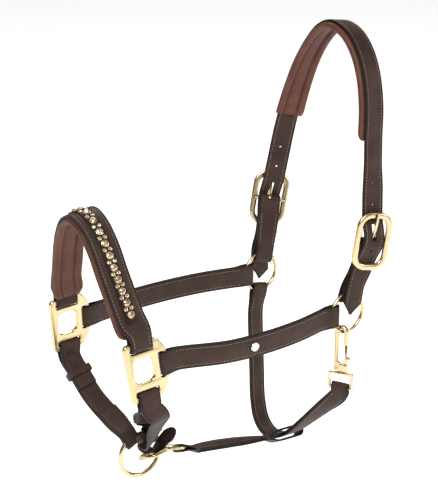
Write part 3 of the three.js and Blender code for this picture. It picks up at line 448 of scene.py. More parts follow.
class Lane:
    """The line that a strap follows, as (at, across) stations; the normal points away from the horse."""

    PIECES = 60

    def __init__(self, stations, side=1):
        flip = np.array([1.0, side, 1.0])
        knots = np.array([s[0] for s in stations], float) * flip
        self.across = np.array([s[1] for s in stations], float) * flip * side
        table = []
        count = len(knots)
        for i in range(count - 1):
            p1, p2 = knots[i], knots[i + 1]
            p0 = knots[i - 1] if i else 2 * p1 - p2
            p3 = knots[i + 2] if i + 2 < count else 2 * p2 - p1
            pairs = ((p0, p1), (p1, p2), (p2, p3))
            d0, d1, d2 = (max(math.sqrt(np.linalg.norm(b - a)), 1e-4) for a, b in pairs)
            t1 = ((p1 - p0) / d0 - (p2 - p0) / (d0 + d1) + (p2 - p1) / d1) * d1
            t2 = ((p2 - p1) / d1 - (p3 - p1) / (d1 + d2) + (p3 - p2) / d2) * d1
            for k in range(self.PIECES):
                t = k / self.PIECES
                table.append(
                    p1 + t1 * t + (-3 * p1 + 3 * p2 - 2 * t1 - t2) * t**2 + (2 * p1 - 2 * p2 + t1 + t2) * t**3
                )
        table.append(knots[-1])
        self.table = np.array(table)
        self.lengths = np.concatenate([[0], np.cumsum(np.linalg.norm(np.diff(self.table, axis=0), axis=1))])
        self.length = self.lengths[-1]
        self.marks = self.lengths[:: self.PIECES]
        runs = np.gradient(self.table, self.lengths, axis=0)
        self.runs = runs / np.linalg.norm(runs, axis=1)[:, None]

    def at(self, distance):
        """Place, direction along, normal and direction across at a distance along the lane."""
        inside = min(self.length, max(0.0, distance))
        pick = lambda table, marks: np.array([np.interp(inside, marks, column) for column in table.T])
        along = unit(pick(self.runs, self.lengths))
        place = pick(self.table, self.lengths) + along * (distance - inside)
        normal = unit(np.cross(pick(self.across, self.marks), along))
        return place, along, normal, np.cross(along, normal)

    def frame(self, distance, offset, profile=False):
        """Matrix of (across, along, normal) axes, or with profile of (along, normal, across) axes."""
        place, along, normal, across = self.at(distance)
        axes = (along, normal, across) if profile else (across, along, normal)
        return placed(*axes, place + normal * offset)


def turn(distance, height, radius, start, end, steps=14):
    """Points of an arc in a lane's (distance, height) plane, kept as they are."""
    angles = [math.radians(start + (end - start) * i / steps) for i in range(steps + 1)]
    return [(distance + radius * math.cos(a), height + radius * math.sin(a), True) for a in angles]


def doubled(start, upper, end):
    """A closed path that comes back under its upper layer."""
    return [*start, *upper, *end, *[(distance, -height) for distance, height in reversed(upper)]]


def dense(path, closed, smoothing=5):
    """The path in short steps, its corners eased."""
    ends = [*path, path[0]] if closed else list(path)
    points, fixed = [], []
    for a, b in zip(ends[:-1], ends[1:]):
        start, stop = np.array(a[:2], float), np.array(b[:2], float)
        parts = max(1, math.ceil(np.linalg.norm(stop - start) / STEP))
        for k in range(parts):
            points.append(start + (stop - start) * k / parts)
            fixed.append(k == 0 and len(a) > 2)
    if not closed:
        points.append(np.array(ends[-1][:2], float))
        fixed[0] = True
        fixed.append(True)
    points, loose = np.array(points), ~np.array(fixed)
    for _ in range(smoothing):
        eased = (np.roll(points, 1, axis=0) + 2 * points + np.roll(points, -1, axis=0)) / 4
        points[loose] = eased[loose]
    return points


class Ribbon:
    """A strap's middle surface: a place and three directions at each row."""

    def __init__(self, lane, path, width, thickness, closed=False):
        points = dense(path, closed)
        before = np.roll(points, 1, axis=0)
        after = np.roll(points, -1, axis=0)
        if not closed:
            before[0], after[-1] = points[0], points[-1]
        self.thickness, self.closed = thickness, closed
        self.at, self.face, self.across, self.width = [], [], [], []
        for (distance, height), slope in zip(points, after - before):
            place, along, normal, across = lane.at(distance)
            angle = math.atan2(slope[1], slope[0])
            self.at.append(place + normal * height)
            self.face.append(normal * math.cos(angle) - along * math.sin(angle))
            self.across.append(across)
            self.width.append(width(distance) if callable(width) else width)
        self.distance = points[:, 0]
        self._finish()

    def _finish(self, easing=4):
        self.at, self.face, self.across = map(np.array, (self.at, self.face, self.across))
        for _ in range(easing):
            for table in (self.face, self.across):
                table[1:-1] = (table[:-2] + 2 * table[1:-1] + table[2:]) / 4
                table /= np.linalg.norm(table, axis=1)[:, None]
        self.width = np.array(self.width, float)
        steps = np.linalg.norm(np.diff(self.at, axis=0), axis=1)
        self.run = np.concatenate([[0], np.cumsum(steps)])

    def joined(self, other):
        for key in ("at", "face", "across", "width", "distance"):
            setattr(self, key, np.concatenate([getattr(self, key), getattr(other, key)]))
        self._finish()
        return self

    def solid(self, parts, section):
        rows, lay = [], []
        for i in range(len(self.at)):
            points, edges = section(self.width[i], self.thickness)
            for (a, b), edge in zip(points, edges):
                rows.append(self.at[i] + self.across[i] * a + self.face[i] * b)
                lay.append((a, self.run[i], edge))
        return parts.add(rows, grid_faces(len(self.at), len(points), self.closed), lay)

    def place(self, run):
        pick = lambda table: np.array([np.interp(run, self.run, column) for column in table.T])
        face, across = unit(pick(self.face)), unit(pick(self.across))
        return pick(self.at), face, across, np.interp(run, self.run, self.width)


def strap_section(width, thickness):
    """A strap's section, with a crease and a stitch channel along each edge of both faces."""
    w, t = width / 2, thickness / 2
    scale = min(1.0, w / 6)
    r = min(0.85, t * 0.85) * scale
    crease = [(1.6, 0, 0.25), (2.0, 0.16, 0.55), (2.4, 0, 0.1)]
    channel = [(2.9, 0, 0), (STITCH_INSET, 0.2, 0.25), (3.9, 0, 0)]
    half = [(w - r + r * math.cos(a), t - r + r * math.sin(a), 1.0) for a in np.radians([0, 30, 60, 90])]
    half += [(w - inset * scale, t - drop * scale, edge) for inset, drop, edge in crease + channel]
    half += [(w * 0.45, t + 0.12 * scale, 0.0)]
    top = half + [(0.0, t + 0.16 * scale, 0.0)] + [(-x, y, e) for x, y, e in reversed(half)]
    both = top + [(-x, -y, e) for x, y, e in top]
    return [(x, y) for x, y, _ in both], [e for _, _, e in both]


def thin_section(width, thickness):
    w, t = width / 2, thickness / 2
    corner = [(w - t + t * math.cos(a), t * math.sin(a)) for a in np.radians([-90, -60, -30, 0, 30, 60, 90])]
    points = corner + [(w * 0.4, t), (-w * 0.4, t)]
    points += [(-x, -y) for x, y in corner] + [(-w * 0.4, -t), (w * 0.4, -t)]
    return points, [0.8] * 7 + [0.0] * 2 + [0.8] * 7 + [0.0] * 2


RINGS = ((-0.5, 0.12), (-0.36, 0.8), (0.0, 1.0), (0.36, 0.8), (0.5, 0.12))


def stitches(ribbon, spans, faces=(1,), inset=STITCH_INSET, length=2.35, wide=0.72, sides=6, parts=None):
    """Slanted stitches in rows near both edges, between (start, end) distances along the ribbon."""
    parts = parts or Parts()
    angles = np.linspace(0, 2 * math.pi, sides, endpoint=False)
    for start, end in spans:
        count = max(1, int((end - start) / STITCH_PITCH))
        for k in range(count):
            run = start + (k + 0.5) * (end - start) / count
            at, face, across, width = ribbon.place(run)
            along = np.cross(face, across)
            for side in (1, -1):
                for way in faces:
                    slant = unit(along + across * 0.16 * side)
                    over = np.cross(slant, face)
                    level = way * (ribbon.thickness / 2 - 0.02)
                    middle = at + across * side * (width / 2 - inset) + face * level
                    ring = [over * math.cos(a) * wide / 2 + face * math.sin(a) * 0.3 for a in angles]
                    points = [
                        middle + slant * length * reach + r * size for reach, size in RINGS for r in ring
                    ]
                    parts.add(points, grid_faces(len(RINGS), sides, False))
    return parts


def punched(piece, cutters):
    """Cuts boxes and round punches, given as (matrix, (x, y, z) size, is round), out of a piece."""
    work = bmesh.new()
    for matrix, size, is_round in cutters:
        shape = placed(matrix[:3, 0], matrix[:3, 1], matrix[:3, 2], row_frame(matrix[:3, 3]))
        scale = Matrix.Diagonal((size[0] * MM, size[1] * MM, size[2] * MM, 1))
        whole = Matrix(shape.tolist()) @ scale
        if is_round:
            bmesh.ops.create_cone(
                work, cap_ends=True, segments=24, radius1=0.5, radius2=0.5, depth=1, matrix=whole
            )
        else:
            bmesh.ops.create_cube(work, size=1, matrix=whole)
    mesh = bpy.data.meshes.new("cutter")
    work.to_mesh(mesh)
    work.free()
    cutter = bpy.data.objects.new("cutter", mesh)
    bpy.context.scene.collection.objects.link(cutter)
    cut = piece.modifiers.new("cut", "BOOLEAN")
    cut.object, cut.operation, cut.solver = cutter, "DIFFERENCE", "EXACT"
    bpy.context.view_layer.update()
    result = bpy.data.meshes.new_from_object(piece.evaluated_get(bpy.context.evaluated_depsgraph_get()))
    piece.modifiers.clear()
    piece.data = result
    bpy.data.objects.remove(cutter)
    result.set_sharp_from_angle(angle=math.radians(40))
    return piece


def add_strap(name, ribbon, body, spans, section=strap_section, faces=(1,), node=None):
    """A strap that stands for its CAD node, and its stitching."""
    piece = ribbon.solid(Parts(), section).make(name, DARK_LEATHER, body, [node or name], "leather")
    if spans:
        stitches(ribbon, spans, faces).make(name + "_stitches", TAN_THREAD, body)
    return piece


# ---- halter squares ----

TOP_BAR, BOTTOM_BAR, LOBE_BAR = 27.4, -29.4, 26.3
SQUARE_WINDOW = (23, 27)
SQUARE_SLOT = (27, 4.6)
LOBE_SLOT = (4.4, 27)


def quadratic(start, control, end, steps=8):
    a, b, c = (np.array(p, float) for p in (start, control, end))
    shares = np.linspace(0, 1, steps + 1)[1:]
    return [tuple(a * (1 - t) ** 2 + b * 2 * t * (1 - t) + c * t * t) for t in shares]


def square_outline():
    points = [(-13, -34), (-1, -34), (11, -34)]
    lobe = (
        ((20, -33.5), (23.5, -25.5)),
        ((30, -18), (30, 0)),
        ((30, 17), (24, 23)),
        ((19.5, 31.5), (13, 31.5)),
    )
    for control, end in lobe:
        points += quadratic(points[-1], control, end)
    points.append((-14.5, 31.5))
    points += quadratic(points[-1], (-21, 31.5), (-21, 25))
    points.append((-18.8, -27))
    points += quadratic(points[-1], (-18.5, -34), (-13, -34))[:-1]
    return points


def square_matrix():
    toe, lean, pitch = (math.radians(a) for a in SQUARE_TURN)
    turned = Matrix.Rotation(toe, 4, "Z") @ Matrix.Rotation(lean, 4, "X") @ Matrix.Rotation(pitch, 4, "Y")
    matrix = np.array(turned @ Matrix.Rotation(math.pi / 2, 4, "X"))
    matrix[:3, 3] = mirrored(SQUARE_CENTRE)
    return matrix


SQUARE = square_matrix()


def on_square(x, z):
    point = SQUARE[:3, :3] @ np.array([x, z, 0.0]) + SQUARE[:3, 3]
    return (point[0], abs(point[1]), point[2])


SQUARE_ALONG = unit(np.subtract(on_square(10, 0), on_square(-10, 0)))
SQUARE_UP = unit(np.subtract(on_square(0, 10), on_square(0, -10)))

for side, sign in (("near", -1), ("far", 1)):
    holes = [
        rounded(*SQUARE_WINDOW, 7)[0],
        rounded(*SQUARE_SLOT, 1, (0, 22))[0],
        rounded(*SQUARE_SLOT, 1, (1, -24))[0],
        rounded(*LOBE_SLOT, 1, (21, 0))[0],
    ]
    points, faces = plate(square_outline(), holes, SQUARE_THICKNESS, 1.25)
    points = points @ SQUARE[:3, :3].T + SQUARE[:3, 3]
    points[:, 1] *= -sign
    square = Parts().add(points, faces)
    square.make(side + "_square", BRASS, "harness", [side + "_halter_square"], "brass", 50)
    ring = Parts().add(*torus(RING_RADIUS, RING_WIRE), matrix=shifted((0, sign * RING_Y, 0)))
    ring.make(side + "_ring_wire", BRASS, side + "_ring", [side + "_cheek_ring"], "brass")

# ---- cheek straps ----


def ring_back(radius, width):
    return radius - math.sqrt(radius**2 - (width / 2) ** 2)


RING_FOLD = RING_WIRE + GAP + THIN_LEATHER / 2
BAR_TURN = SQUARE_THICKNESS / 2 + GAP + LEATHER / 2
THIN_BAR_TURN = SQUARE_THICKNESS / 2 + GAP + THIN_LEATHER / 2
BAR_BACK = 1.2
RING_REACH = ring_back(RING_RADIUS, STRAP_WIDTH) + 2
THIN_LAYER = THIN_LEATHER / 2 + GAP / 2
CHEEK_BOW = 14


def cheek_lane(sign):
    return Lane(
        [
            (on_square(LOBE_BAR, 0), SQUARE_UP),
            (on_square(LOBE_BAR + 13, 0), SQUARE_UP),
            ((-170, RING_Y + CHEEK_BOW * 0.85, -1), (-0.03, 0.03, 1)),
            ((-120, RING_Y + CHEEK_BOW, -1), (0, 0, 1)),
            ((-75, RING_Y + CHEEK_BOW * 0.7, -0.5), (0, 0, 1)),
            ((-RING_RADIUS - 11, RING_Y + 0.6, 0), (0, 0, 1)),
            ((-RING_RADIUS, RING_Y, 0), (0, 0, 1)),
        ],
        sign,
    )


def span_where(ribbon, low, high):
    """Stretches of a ribbon's run whose lane distance lies between low and high."""
    inside = (ribbon.distance > low) & (ribbon.distance < high)
    spans, start = [], None
    for i, ok in enumerate(inside):
        if ok and start is None:
            start = i
        if not ok and start is not None:
            spans.append((ribbon.run[start], ribbon.run[i - 1]))
            start = None
    if start is not None:
        spans.append((ribbon.run[start], ribbon.run[-1]))
    return [(a, b) for a, b in spans if b - a > 6]


for side, sign in (("near", -1), ("far", 1)):
    lane = cheek_lane(sign)
    end = lane.length
    path = doubled(
        turn(-BAR_BACK, 0, THIN_BAR_TURN, 270, 90),
        [(8, THIN_BAR_TURN - 0.6), (16, THIN_LAYER), (end - 14, THIN_LAYER), (end - 5, RING_FOLD)],
        turn(end + RING_REACH, 0, RING_FOLD, 90, -90),
    )
    ribbon = Ribbon(lane, path, STRAP_WIDTH, THIN_LEATHER, True)
    add_strap(side + "_cheek", ribbon, "harness", span_where(ribbon, 11, end - 9), node=side + "_cheek_strap")
    if side == "near":
        near_cheek = lane

STUD_AT = 103
stud_rim = [(0, -0.9), (5.2, -0.9), (5.3, -0.3), (4.9, 0.5), (4.3, 0.85)]
stud_face = [(4.1, 0.65), (3.9, 0.55), (3.0, 0.85), (1.5, 1.05), (0, 1.1)]
stud_at = near_cheek.frame(STUD_AT, THIN_LEATHER + GAP + 0.95)
stud_parts = Parts().add(*lathe(stud_rim + stud_face), matrix=stud_at)
stud_parts.make("near_cheek_stud", PALE_METAL, "harness", ["cheek_stud"], "brass", 60)

# ---- crown ----

NEAR_CROWN = [
    (3, 81, 22.3),
    (5.5, 81.2, 32),
    (13.5, 84, 49),
    (21, 90, 85),
    (23.5, 90, 113),
    (25.5, 88, 140),
    (28.5, 83.5, 168),
    (32.5, 78, 196),
    (38.5, 71, 228),
    (43.5, 59, 260),
    (46, 43.5, 285),
    (46, 24, 303),
]
FAR_CROWN = [
    (3, 81, 22.3),
    (5.5, 81.2, 32),
    (11, 84, 49),
    (20.5, 90, 85),
    (27, 91, 113),
    (32.5, 90, 140),
    (36.5, 86.5, 168),
    (40, 81, 196),
    (43, 72.5, 228),
    (44.5, 58.5, 260),
    (45, 42, 284),
    (45, 22, 302.5),
]
NEAR_FACING = (0, 0, -0.2, -0.2, -0.2, -0.2, 0, 0, 0, 0, 0, 0, 0)  # turn of the strap's width at each station
FAR_FACING = (0, 0, -0.25, -0.42, -0.5, -0.5, -0.45, -0.35, -0.2, -0.1, 0, 0, 0)


def arch(near, far, top, across_at):
    """A lane from the near side over the top to the far side."""
    near_side = [(mirrored(p), across_at(i, -1)) for i, p in enumerate(near)]
    far_side = [(p, across_at(i, 1)) for i, p in enumerate(far)][::-1]
    return Lane([*near_side, (top, across_at(len(near), 1)), *far_side])


def crown_across(station, sign):
    turned = (FAR_FACING if sign > 0 else NEAR_FACING)[station]
    return (math.sqrt(0.985**2 - turned**2), turned, -0.14)


crown = arch(NEAR_CROWN, FAR_CROWN, (45, 0, 310), crown_across)
BUCKLE_AT = crown.marks[3]
LINING_FROM = crown.marks[7]
BUCKLE_BAR = 1.7
BUCKLE_WIDTH = 44
BUCKLE_HEIGHT = 66
BUCKLE_RAIL = 7
BUCKLE_CORNER = 17
BUCKLE_THICKNESS = 4.6
BUCKLE_OFF = 7
BAR_OFF = BUCKLE_OFF - 2.2
LOOP_TURN = BUCKLE_BAR + GAP + THIN_LEATHER / 2
OVER_BAR = BAR_OFF + LOOP_TURN + THIN_LEATHER / 2 + GAP + LEATHER / 2
HALF_BUCKLE = (BUCKLE_HEIGHT - BUCKLE_RAIL) / 2
TAIL_OFF = THIN_LEATHER + GAP * 1.5 + LEATHER / 2
TAIL_END = -22
FAR_TAIL_END = -35
FAR_TAIL_BEND = 9
TAIL_POINT = 13
HOLE_PITCH = 24
FIRST_HOLE = 39.6
PUNCH = 2.5
TONGUE_SLOT = 10.2
TONGUE_SLOT_SIZE = (4.9, 17.6, 16)

crown_tail = [
    (TAIL_END, 8.4),
    (TAIL_END + TAIL_POINT, 7.8),
    (3, 7.2),
    (13, 6.6),
    (22, TAIL_OFF),
    (BUCKLE_AT - HALF_BUCKLE - 4, TAIL_OFF),
    (BUCKLE_AT - 22, TAIL_OFF),
    (BUCKLE_AT - 13, TAIL_OFF + 2.9),
    (BUCKLE_AT - 6, OVER_BAR - 0.4),
    (BUCKLE_AT, OVER_BAR),
    (BUCKLE_AT + 5, OVER_BAR - 0.3),
    (BUCKLE_AT + HALF_BUCKLE - 10, 3.6),
    (BUCKLE_AT + HALF_BUCKLE - 3, 1.2),
    (BUCKLE_AT + HALF_BUCKLE + 4, 0.8),
    (BUCKLE_AT + HALF_BUCKLE + 18, 0),
]


def other_end(path, lane):
    return [(lane.length - p[0], *p[1:]) for p in reversed(path)]


def crown_width(distance):
    from_end = min(distance - TAIL_END, crown.length - distance - FAR_TAIL_END)
    share = min(1.0, max(0.0, from_end / TAIL_POINT))
    return max(1.2, STRAP_WIDTH * share)


far_crown_tail = [(FAR_TAIL_END, 8.4), (FAR_TAIL_END + TAIL_POINT, 8.0), *crown_tail[2:]]
crown_ribbon = Ribbon(crown, [*crown_tail, *other_end(far_crown_tail, crown)], crown_width, LEATHER)
# The far tail bends backwards.
for row, distance in enumerate(crown_ribbon.distance):
    crown_ribbon.at[row, 0] += FAR_TAIL_BEND * ramp(distance, crown.length - 8, crown.length - FAR_TAIL_END)
sewn = [(14, crown_ribbon.run[-1] - 14)]
crown_piece = add_strap("crown", crown_ribbon, "crown", sewn, node="crown_strap", faces=(1, -1))
cutters = []
for place_of in (lambda d: d, lambda d: crown.length - d):
    slot_frame = crown.frame(place_of(BUCKLE_AT + TONGUE_SLOT), 5)
    cutters.append((slot_frame, TONGUE_SLOT_SIZE, False))
    punches = [(BUCKLE_AT - 10, OVER_BAR - 1)]
    punches += [(BUCKLE_AT + FIRST_HOLE + step * HOLE_PITCH, 0) for step in (0, 1)]
    for distance, height in punches:
        cutters.append((crown.frame(place_of(distance), height), (PUNCH, PUNCH, 8), True))
punched(crown_piece, cutters)


def pad_section(width, thickness, swell=1.0):
    """A padded lining's section: a flat back, two stuffed rolls along its sides and a lower middle panel."""
    w, t = width / 2, thickness / 2
    roll = 0.27 * width
    valley = w - roll
    points = [(-w * 0.5, t), (0, t), (w * 0.5, t), (w - 1.6, t)]
    for angle in np.radians([75, 50, 25, 0, -25, -50, -75]):
        bulge = 1.0 + 0.05 * swell
        points.append((w - t + t * math.cos(angle) * bulge, t * math.sin(angle) * bulge))
    for share, drop in ((0.35, 0.02), (0.6, 0.1), (0.8, 0.32), (0.93, 0.72)):
        points.append((w - t * 0.7 - (roll - t * 0.7) * share, -t * (1 - drop)))
    points += [(valley, -t * 0.02), (valley - 1.0, -t * 0.2), (valley - 2.6, -t * 0.42)]
    points.append((valley * 0.35, -t * 0.52))
    mirror = [(-x, y) for x, y in points[3:]][::-1]
    whole = points[1:] + [(0, -t * 0.55)] + mirror + [points[0]]
    # These edge weights paint shade into the deep valleys between the stuffed rolls and the middle panel.
    edges = [min(1.0, max(0.0, 1 - abs(abs(x) - valley) / 1.1)) if y < 0 else 0.15 for x, y in whole]
    return whole, edges


def padded_lining(name, lane, path, width, thickness, body, node, ends):
    """A stuffed lining with pinched ends and a seam in each valley."""
    ribbon = Ribbon(lane, path, width, thickness)
    total = ribbon.run[-1]
    rows, lay = [], []
    for i in range(len(ribbon.at)):
        run = ribbon.run[i]
        near_end = min(run, total - run)
        fill = 0.3 + 0.7 * math.sin(0.5 * math.pi * min(1.0, near_end / ends))
        ripple = 0.10 * math.sin(run * 0.52 + 1.3) + 0.07 * math.sin(run * 1.13 + 0.4)
        section, edges = pad_section(ribbon.width[i] * (0.93 + 0.07 * fill), thickness)
        for (a, b), edge in zip(section, edges):
            top = thickness / 2
            squeezed = top - (top - b) * fill
            if b < 0:
                squeezed += ripple * fill * (0.5 + 0.5 * (a > 0)) * 0.8
            rows.append(ribbon.at[i] + ribbon.across[i] * a + ribbon.face[i] * squeezed)
            lay.append((a, run, edge * 0.9))
    parts = Parts().add(rows, grid_faces(len(ribbon.at), len(section), False), lay)
    piece = parts.make(name, LINING_LEATHER, body, [node], "lining", 60)
    rounder = piece.modifiers.new("round", "SUBSURF")
    rounder.levels = rounder.render_levels = 1
    seam = Parts()
    valley_inset = 0.27 * np.mean(ribbon.width)
    ribbon.thickness = -0.1
    stitches(ribbon, [(5, total - 5)], (1,), inset=valley_inset, length=2.6, wide=0.7, parts=seam)
    seam.make(name + "_seams", RED_THREAD, body)
    return piece


UNDER = -LEATHER / 2 - GAP - PAD / 2
padded_lining(
    "crown_pad",
    crown,
    [(LINING_FROM - 4, UNDER + 0.3), (crown.length - LINING_FROM + 8, UNDER + 0.3)],
    CROWN_PAD_WIDTH,
    PAD - 0.4,
    "crown",
    "crown_lining",
    9,
)


def buckle_matrix(at, sign):
    lean = math.radians(3 * sign)
    tilt = np.array(Matrix.Rotation(lean, 4, "X"))
    return crown.frame(at, BUCKLE_OFF) @ tilt


def eye(bar, width):
    """A tongue's eye round its bar, in (along, normal) axes."""
    outer, inner, half, bevel = bar + GAP + 1.3, bar + GAP, width / 2, 0.4
    lower = [(outer, -half + bevel), (outer - bevel, -half), (inner, -half)]
    ring = lower + [(r, -z) for r, z in reversed(lower)]
    rows = []
    for i in range(28):
        angle = 2 * math.pi * i / 28
        rows += [(r * math.cos(angle), r * math.sin(angle), z) for r, z in ring]
    return np.array(rows), grid_faces(28, len(ring), True)


for side, sign in (("near", -1), ("far", 1)):
    at = crown.length - BUCKLE_AT if sign > 0 else BUCKLE_AT
    matrix = buckle_matrix(at, sign)
    rails = loop(BUCKLE_WIDTH, BUCKLE_HEIGHT, BUCKLE_RAIL, BUCKLE_CORNER, BUCKLE_THICKNESS, power=2.7)
    buckle = Parts().add(*rails, matrix=matrix)
    reach = np.linspace(-18.6, 18.6, 25)
    stubs = [1.4 if abs(x) > STRAP_WIDTH / 2 + 1 else 1.0 for x in reach]
    bar = [(x, 0, BAR_OFF - BUCKLE_OFF) for x in reach]
    buckle.add(*tube(bar, 2 * BUCKLE_BAR, 2 * BUCKLE_BAR, (0, 1, 0), taper=stubs), matrix=matrix)
    buckle.make(side + "_buckle", BRASS, "crown", [side + "_crown_buckle"], "brass", 60)
    bends = [(1.8, 2.2), (10, 3.4), (18, 4.3), (HALF_BUCKLE - 4, 4.9), (HALF_BUCKLE + 3.4, 4.7)]
    arm = smooth_points([(*bend, 0) for bend in bends], 20)
    taper = [1.0 - 0.32 * ramp(i, 9, 19) for i in range(20)]
    prong = Parts()
    base = crown.frame(at, BAR_OFF, True)
    if sign > 0:
        base = base @ np.diag([-1.0, 1, -1, 1])
    prong.add(*tube(arm, 3.6, 2.4, (0, 0, 1), taper=taper), matrix=base)
    prong.add(*eye(BUCKLE_BAR, 3.6), matrix=base)
    prong.make(side + "_tongue_piece", BRASS, side + "_tongue", [side + "_crown_tongue"], "brass", 50)
    half = [
        *turn(-RING_REACH, 0, RING_FOLD, 270, 90),
        (6, RING_FOLD - 0.6),
        (16, THIN_LAYER),
        (BUCKLE_AT - 18, THIN_LAYER),
        (BUCKLE_AT - 10, THIN_LAYER + 1.2),
        (BUCKLE_AT - 4, BAR_OFF + LOOP_TURN - 1),
        *turn(BUCKLE_AT, BAR_OFF, LOOP_TURN, 90, -90),
        (BUCKLE_AT - 8, -THIN_LAYER + 0.4),
        (16, -THIN_LAYER),
        (6, -RING_FOLD + 0.6),
    ]
    path = other_end(half, crown) if sign > 0 else half
    sewn = (crown.length - BUCKLE_AT + 16, crown.length - 10) if sign > 0 else (10, BUCKLE_AT - 16)
    ribbon = Ribbon(crown, path, STRAP_WIDTH, THIN_LEATHER, True)
    spans = span_where(ribbon, *sewn)
    band = add_strap(side + "_billet", ribbon, "crown", spans, node=side + "_buckle_strap")
    slot_at = crown.frame(at, BAR_OFF + 1)
    slot_at[:3, 3] -= slot_at[:3, 1] * 4.25 * sign
    punched(band, [(slot_at, (4.6, 17.5, 12), False)])

# ---- noseband ----

NEAR_NOSE = [
    on_square(0, TOP_BAR),
    on_square(0, TOP_BAR + 12),
    (-274.6, 68.6, 51),
    (-278.4, 58, 75),
    (-281.8, 48, 98),
    (-284, 36.5, 121),
    (-286, 20.5, 140),
]
FAR_NOSE = [
    on_square(0, TOP_BAR),
    on_square(0, TOP_BAR + 12),
    (-273.6, 69, 51),
    (-276, 60, 75),
    (-279, 51, 98),
    (-281.6, 39.5, 121),
    (-284.5, 22, 140),
]
flat_along = SQUARE_ALONG * np.array([1, 0, 1])
nose_across = lambda station, sign: flat_along if station < 2 else (0.985, 0, 0.15)
noseband = arch(NEAR_NOSE, FAR_NOSE, (-286, 0, 147.5), nose_across)


def nose_width(distance):
    from_end = min(distance, noseband.length - distance)
    return STRAP_WIDTH + (NOSEBAND_WIDTH - STRAP_WIDTH) * ramp(from_end, 4, 26)


SURFACE = LEATHER / 2
folded_end = [(15, -BAR_TURN), *turn(-BAR_BACK, 0, BAR_TURN, 270, 90), (12, BAR_TURN - 0.8), (28, SURFACE)]
nose_ribbon = Ribbon(noseband, [*folded_end, *other_end(folded_end, noseband)], nose_width, LEATHER)
add_strap("noseband", nose_ribbon, "harness", [(28, nose_ribbon.run[-1] - 28)], node="noseband_strap")
END_UNDER = -BAR_TURN - LEATHER / 2 - GAP - PAD / 2 + 0.2
pad_end = [(7, END_UNDER + 0.2), (18, END_UNDER + 0.2), (34, SURFACE - LEATHER / 2 - GAP - PAD / 2 + 0.25)]
padded_lining(
    "noseband_pad",
    noseband,
    [*pad_end, *other_end(pad_end, noseband)],
    lambda d: nose_width(d) + 4.5,
    PAD - 0.5,
    "harness",
    "noseband_lining",
    8,
)

INLAY_END = 26
INLAY_WIDTH = 13
INLAY_THICK = 1.2
CRYSTAL_PITCH = 12.6
MIDDLE_STONES = [(0, 3.75, 2.3)]  # across, radius and height
SIDE_STONES = [(-3.1, 1.95, 1.5), (3.1, 1.95, 1.5)]


def cut_stone(radius, height, sides=12):
    """A faceted stone, each facet with its own level of painted reflection; the top facets get brighter
    painted highlights.
    """
    points, faces, lay = [], [], []
    rings = ((1.0, 0.1), (0.98, 0.34), (0.74, 0.78), (0.46, 1.0))

    def corner(row, k):
        angle, (reach, level) = 2 * math.pi * k / sides, rings[row]
        return (radius * reach * math.cos(angle), radius * reach * math.sin(angle), height * level)

    for row in range(len(rings) - 1):
        for i in range(sides):
            faces.append(tuple(range(len(points), len(points) + 4)))
            points += [corner(row, i), corner(row, i + 1), corner(row + 1, i + 1), corner(row + 1, i)]
            # A random painted reflection level for this facet.
            lay += [(random.random(), 0, 0)] * 4
    for i in range(sides):
        faces.append((len(points), len(points) + 1, len(points) + 2))
        points += [corner(-1, i), corner(-1, i + 1), (0, 0, height * 1.02)]
        # The top facets get a brighter painted highlight.
        lay += [(0.35 + 0.65 * random.random(), 0, 0)] * 3
    return points, faces, lay


def cup(radius, height):
    """The setting that holds a stone, with its rim closed over the stone's edge."""
    wall = [(0, -0.4), (radius + 0.1, -0.4), (radius + 0.42, 0.1), (radius + 0.32, height * 0.45)]
    rim = [(radius - 0.05, height * 0.5), (radius - 0.3, height * 0.35), (0, height * 0.3)]
    return lathe(wall + rim, 20)


above = LEATHER + GAP + INLAY_THICK / 2 - 0.3
inlay_ends = [(INLAY_END, above + 0.9), (INLAY_END + 10, above + 0.5), (INLAY_END + 20, above)]
inlay_path = [*inlay_ends, *other_end(inlay_ends, noseband)]
inlay_ribbon = Ribbon(noseband, inlay_path, INLAY_WIDTH, INLAY_THICK)
inlay_band = inlay_ribbon.solid(Parts(), thin_section)
inlay_band.make("inlay_band", CHANNEL_LEATHER, "harness", ["noseband_inlay"], "crystal")
stones, cups = Parts(), Parts()
run = noseband.length - 2 * (INLAY_END + 8)
count = round(run / CRYSTAL_PITCH)
for i in range(2 * count + 1):
    distance = INLAY_END + 8 + run * i / (2 * count)
    lift = above + INLAY_THICK / 2 + 0.6 * (1 - ramp(min(i, 2 * count - i) / 2, 0, 2))
    for across, radius, height in SIDE_STONES if i % 2 else MIDDLE_STONES:
        matrix = noseband.frame(distance, lift)
        matrix[:3, 3] += matrix[:3, 0] * across
        stone_points, stone_faces, stone_lay = cut_stone(radius, height, 12 if radius > 3 else 8)
        stones.add(stone_points, stone_faces, stone_lay, matrix)
        cups.add(*cup(radius, height), matrix=matrix)
stones.make("inlay_stones", CRYSTAL, "harness", (), "crystal", 1)
cups.make("inlay_cups", BRASS, "harness", (), "brass")

# ---- chin ----

LEAD_CENTRE = (-222.6, 3, -145.4)
LEAD_TURN = LEAD_WIRE + GAP + LEATHER / 2
CHIN_WIDTH = 24
CHIN_NARROW = 18
KEEPER_THICKNESS = 1.6
KEEPER_LENGTH = 8
LEAD_REACH = ring_back(LEAD_RADIUS, CHIN_NARROW) + 1.8
LAYER = LEATHER / 2 + GAP / 2
lead = Parts().add(*torus(LEAD_RADIUS, LEAD_WIRE), matrix=shifted(LEAD_CENTRE))
lead.make("lead_ring_wire", BRASS, "lead_ring", ["lead_ring"], "brass")


def by_lead_ring(degrees, beyond):
    angle, reach = math.radians(degrees), LEAD_RADIUS + beyond
    x, y, z = LEAD_CENTRE
    return (x + reach * math.cos(angle), y, z + reach * math.sin(angle))


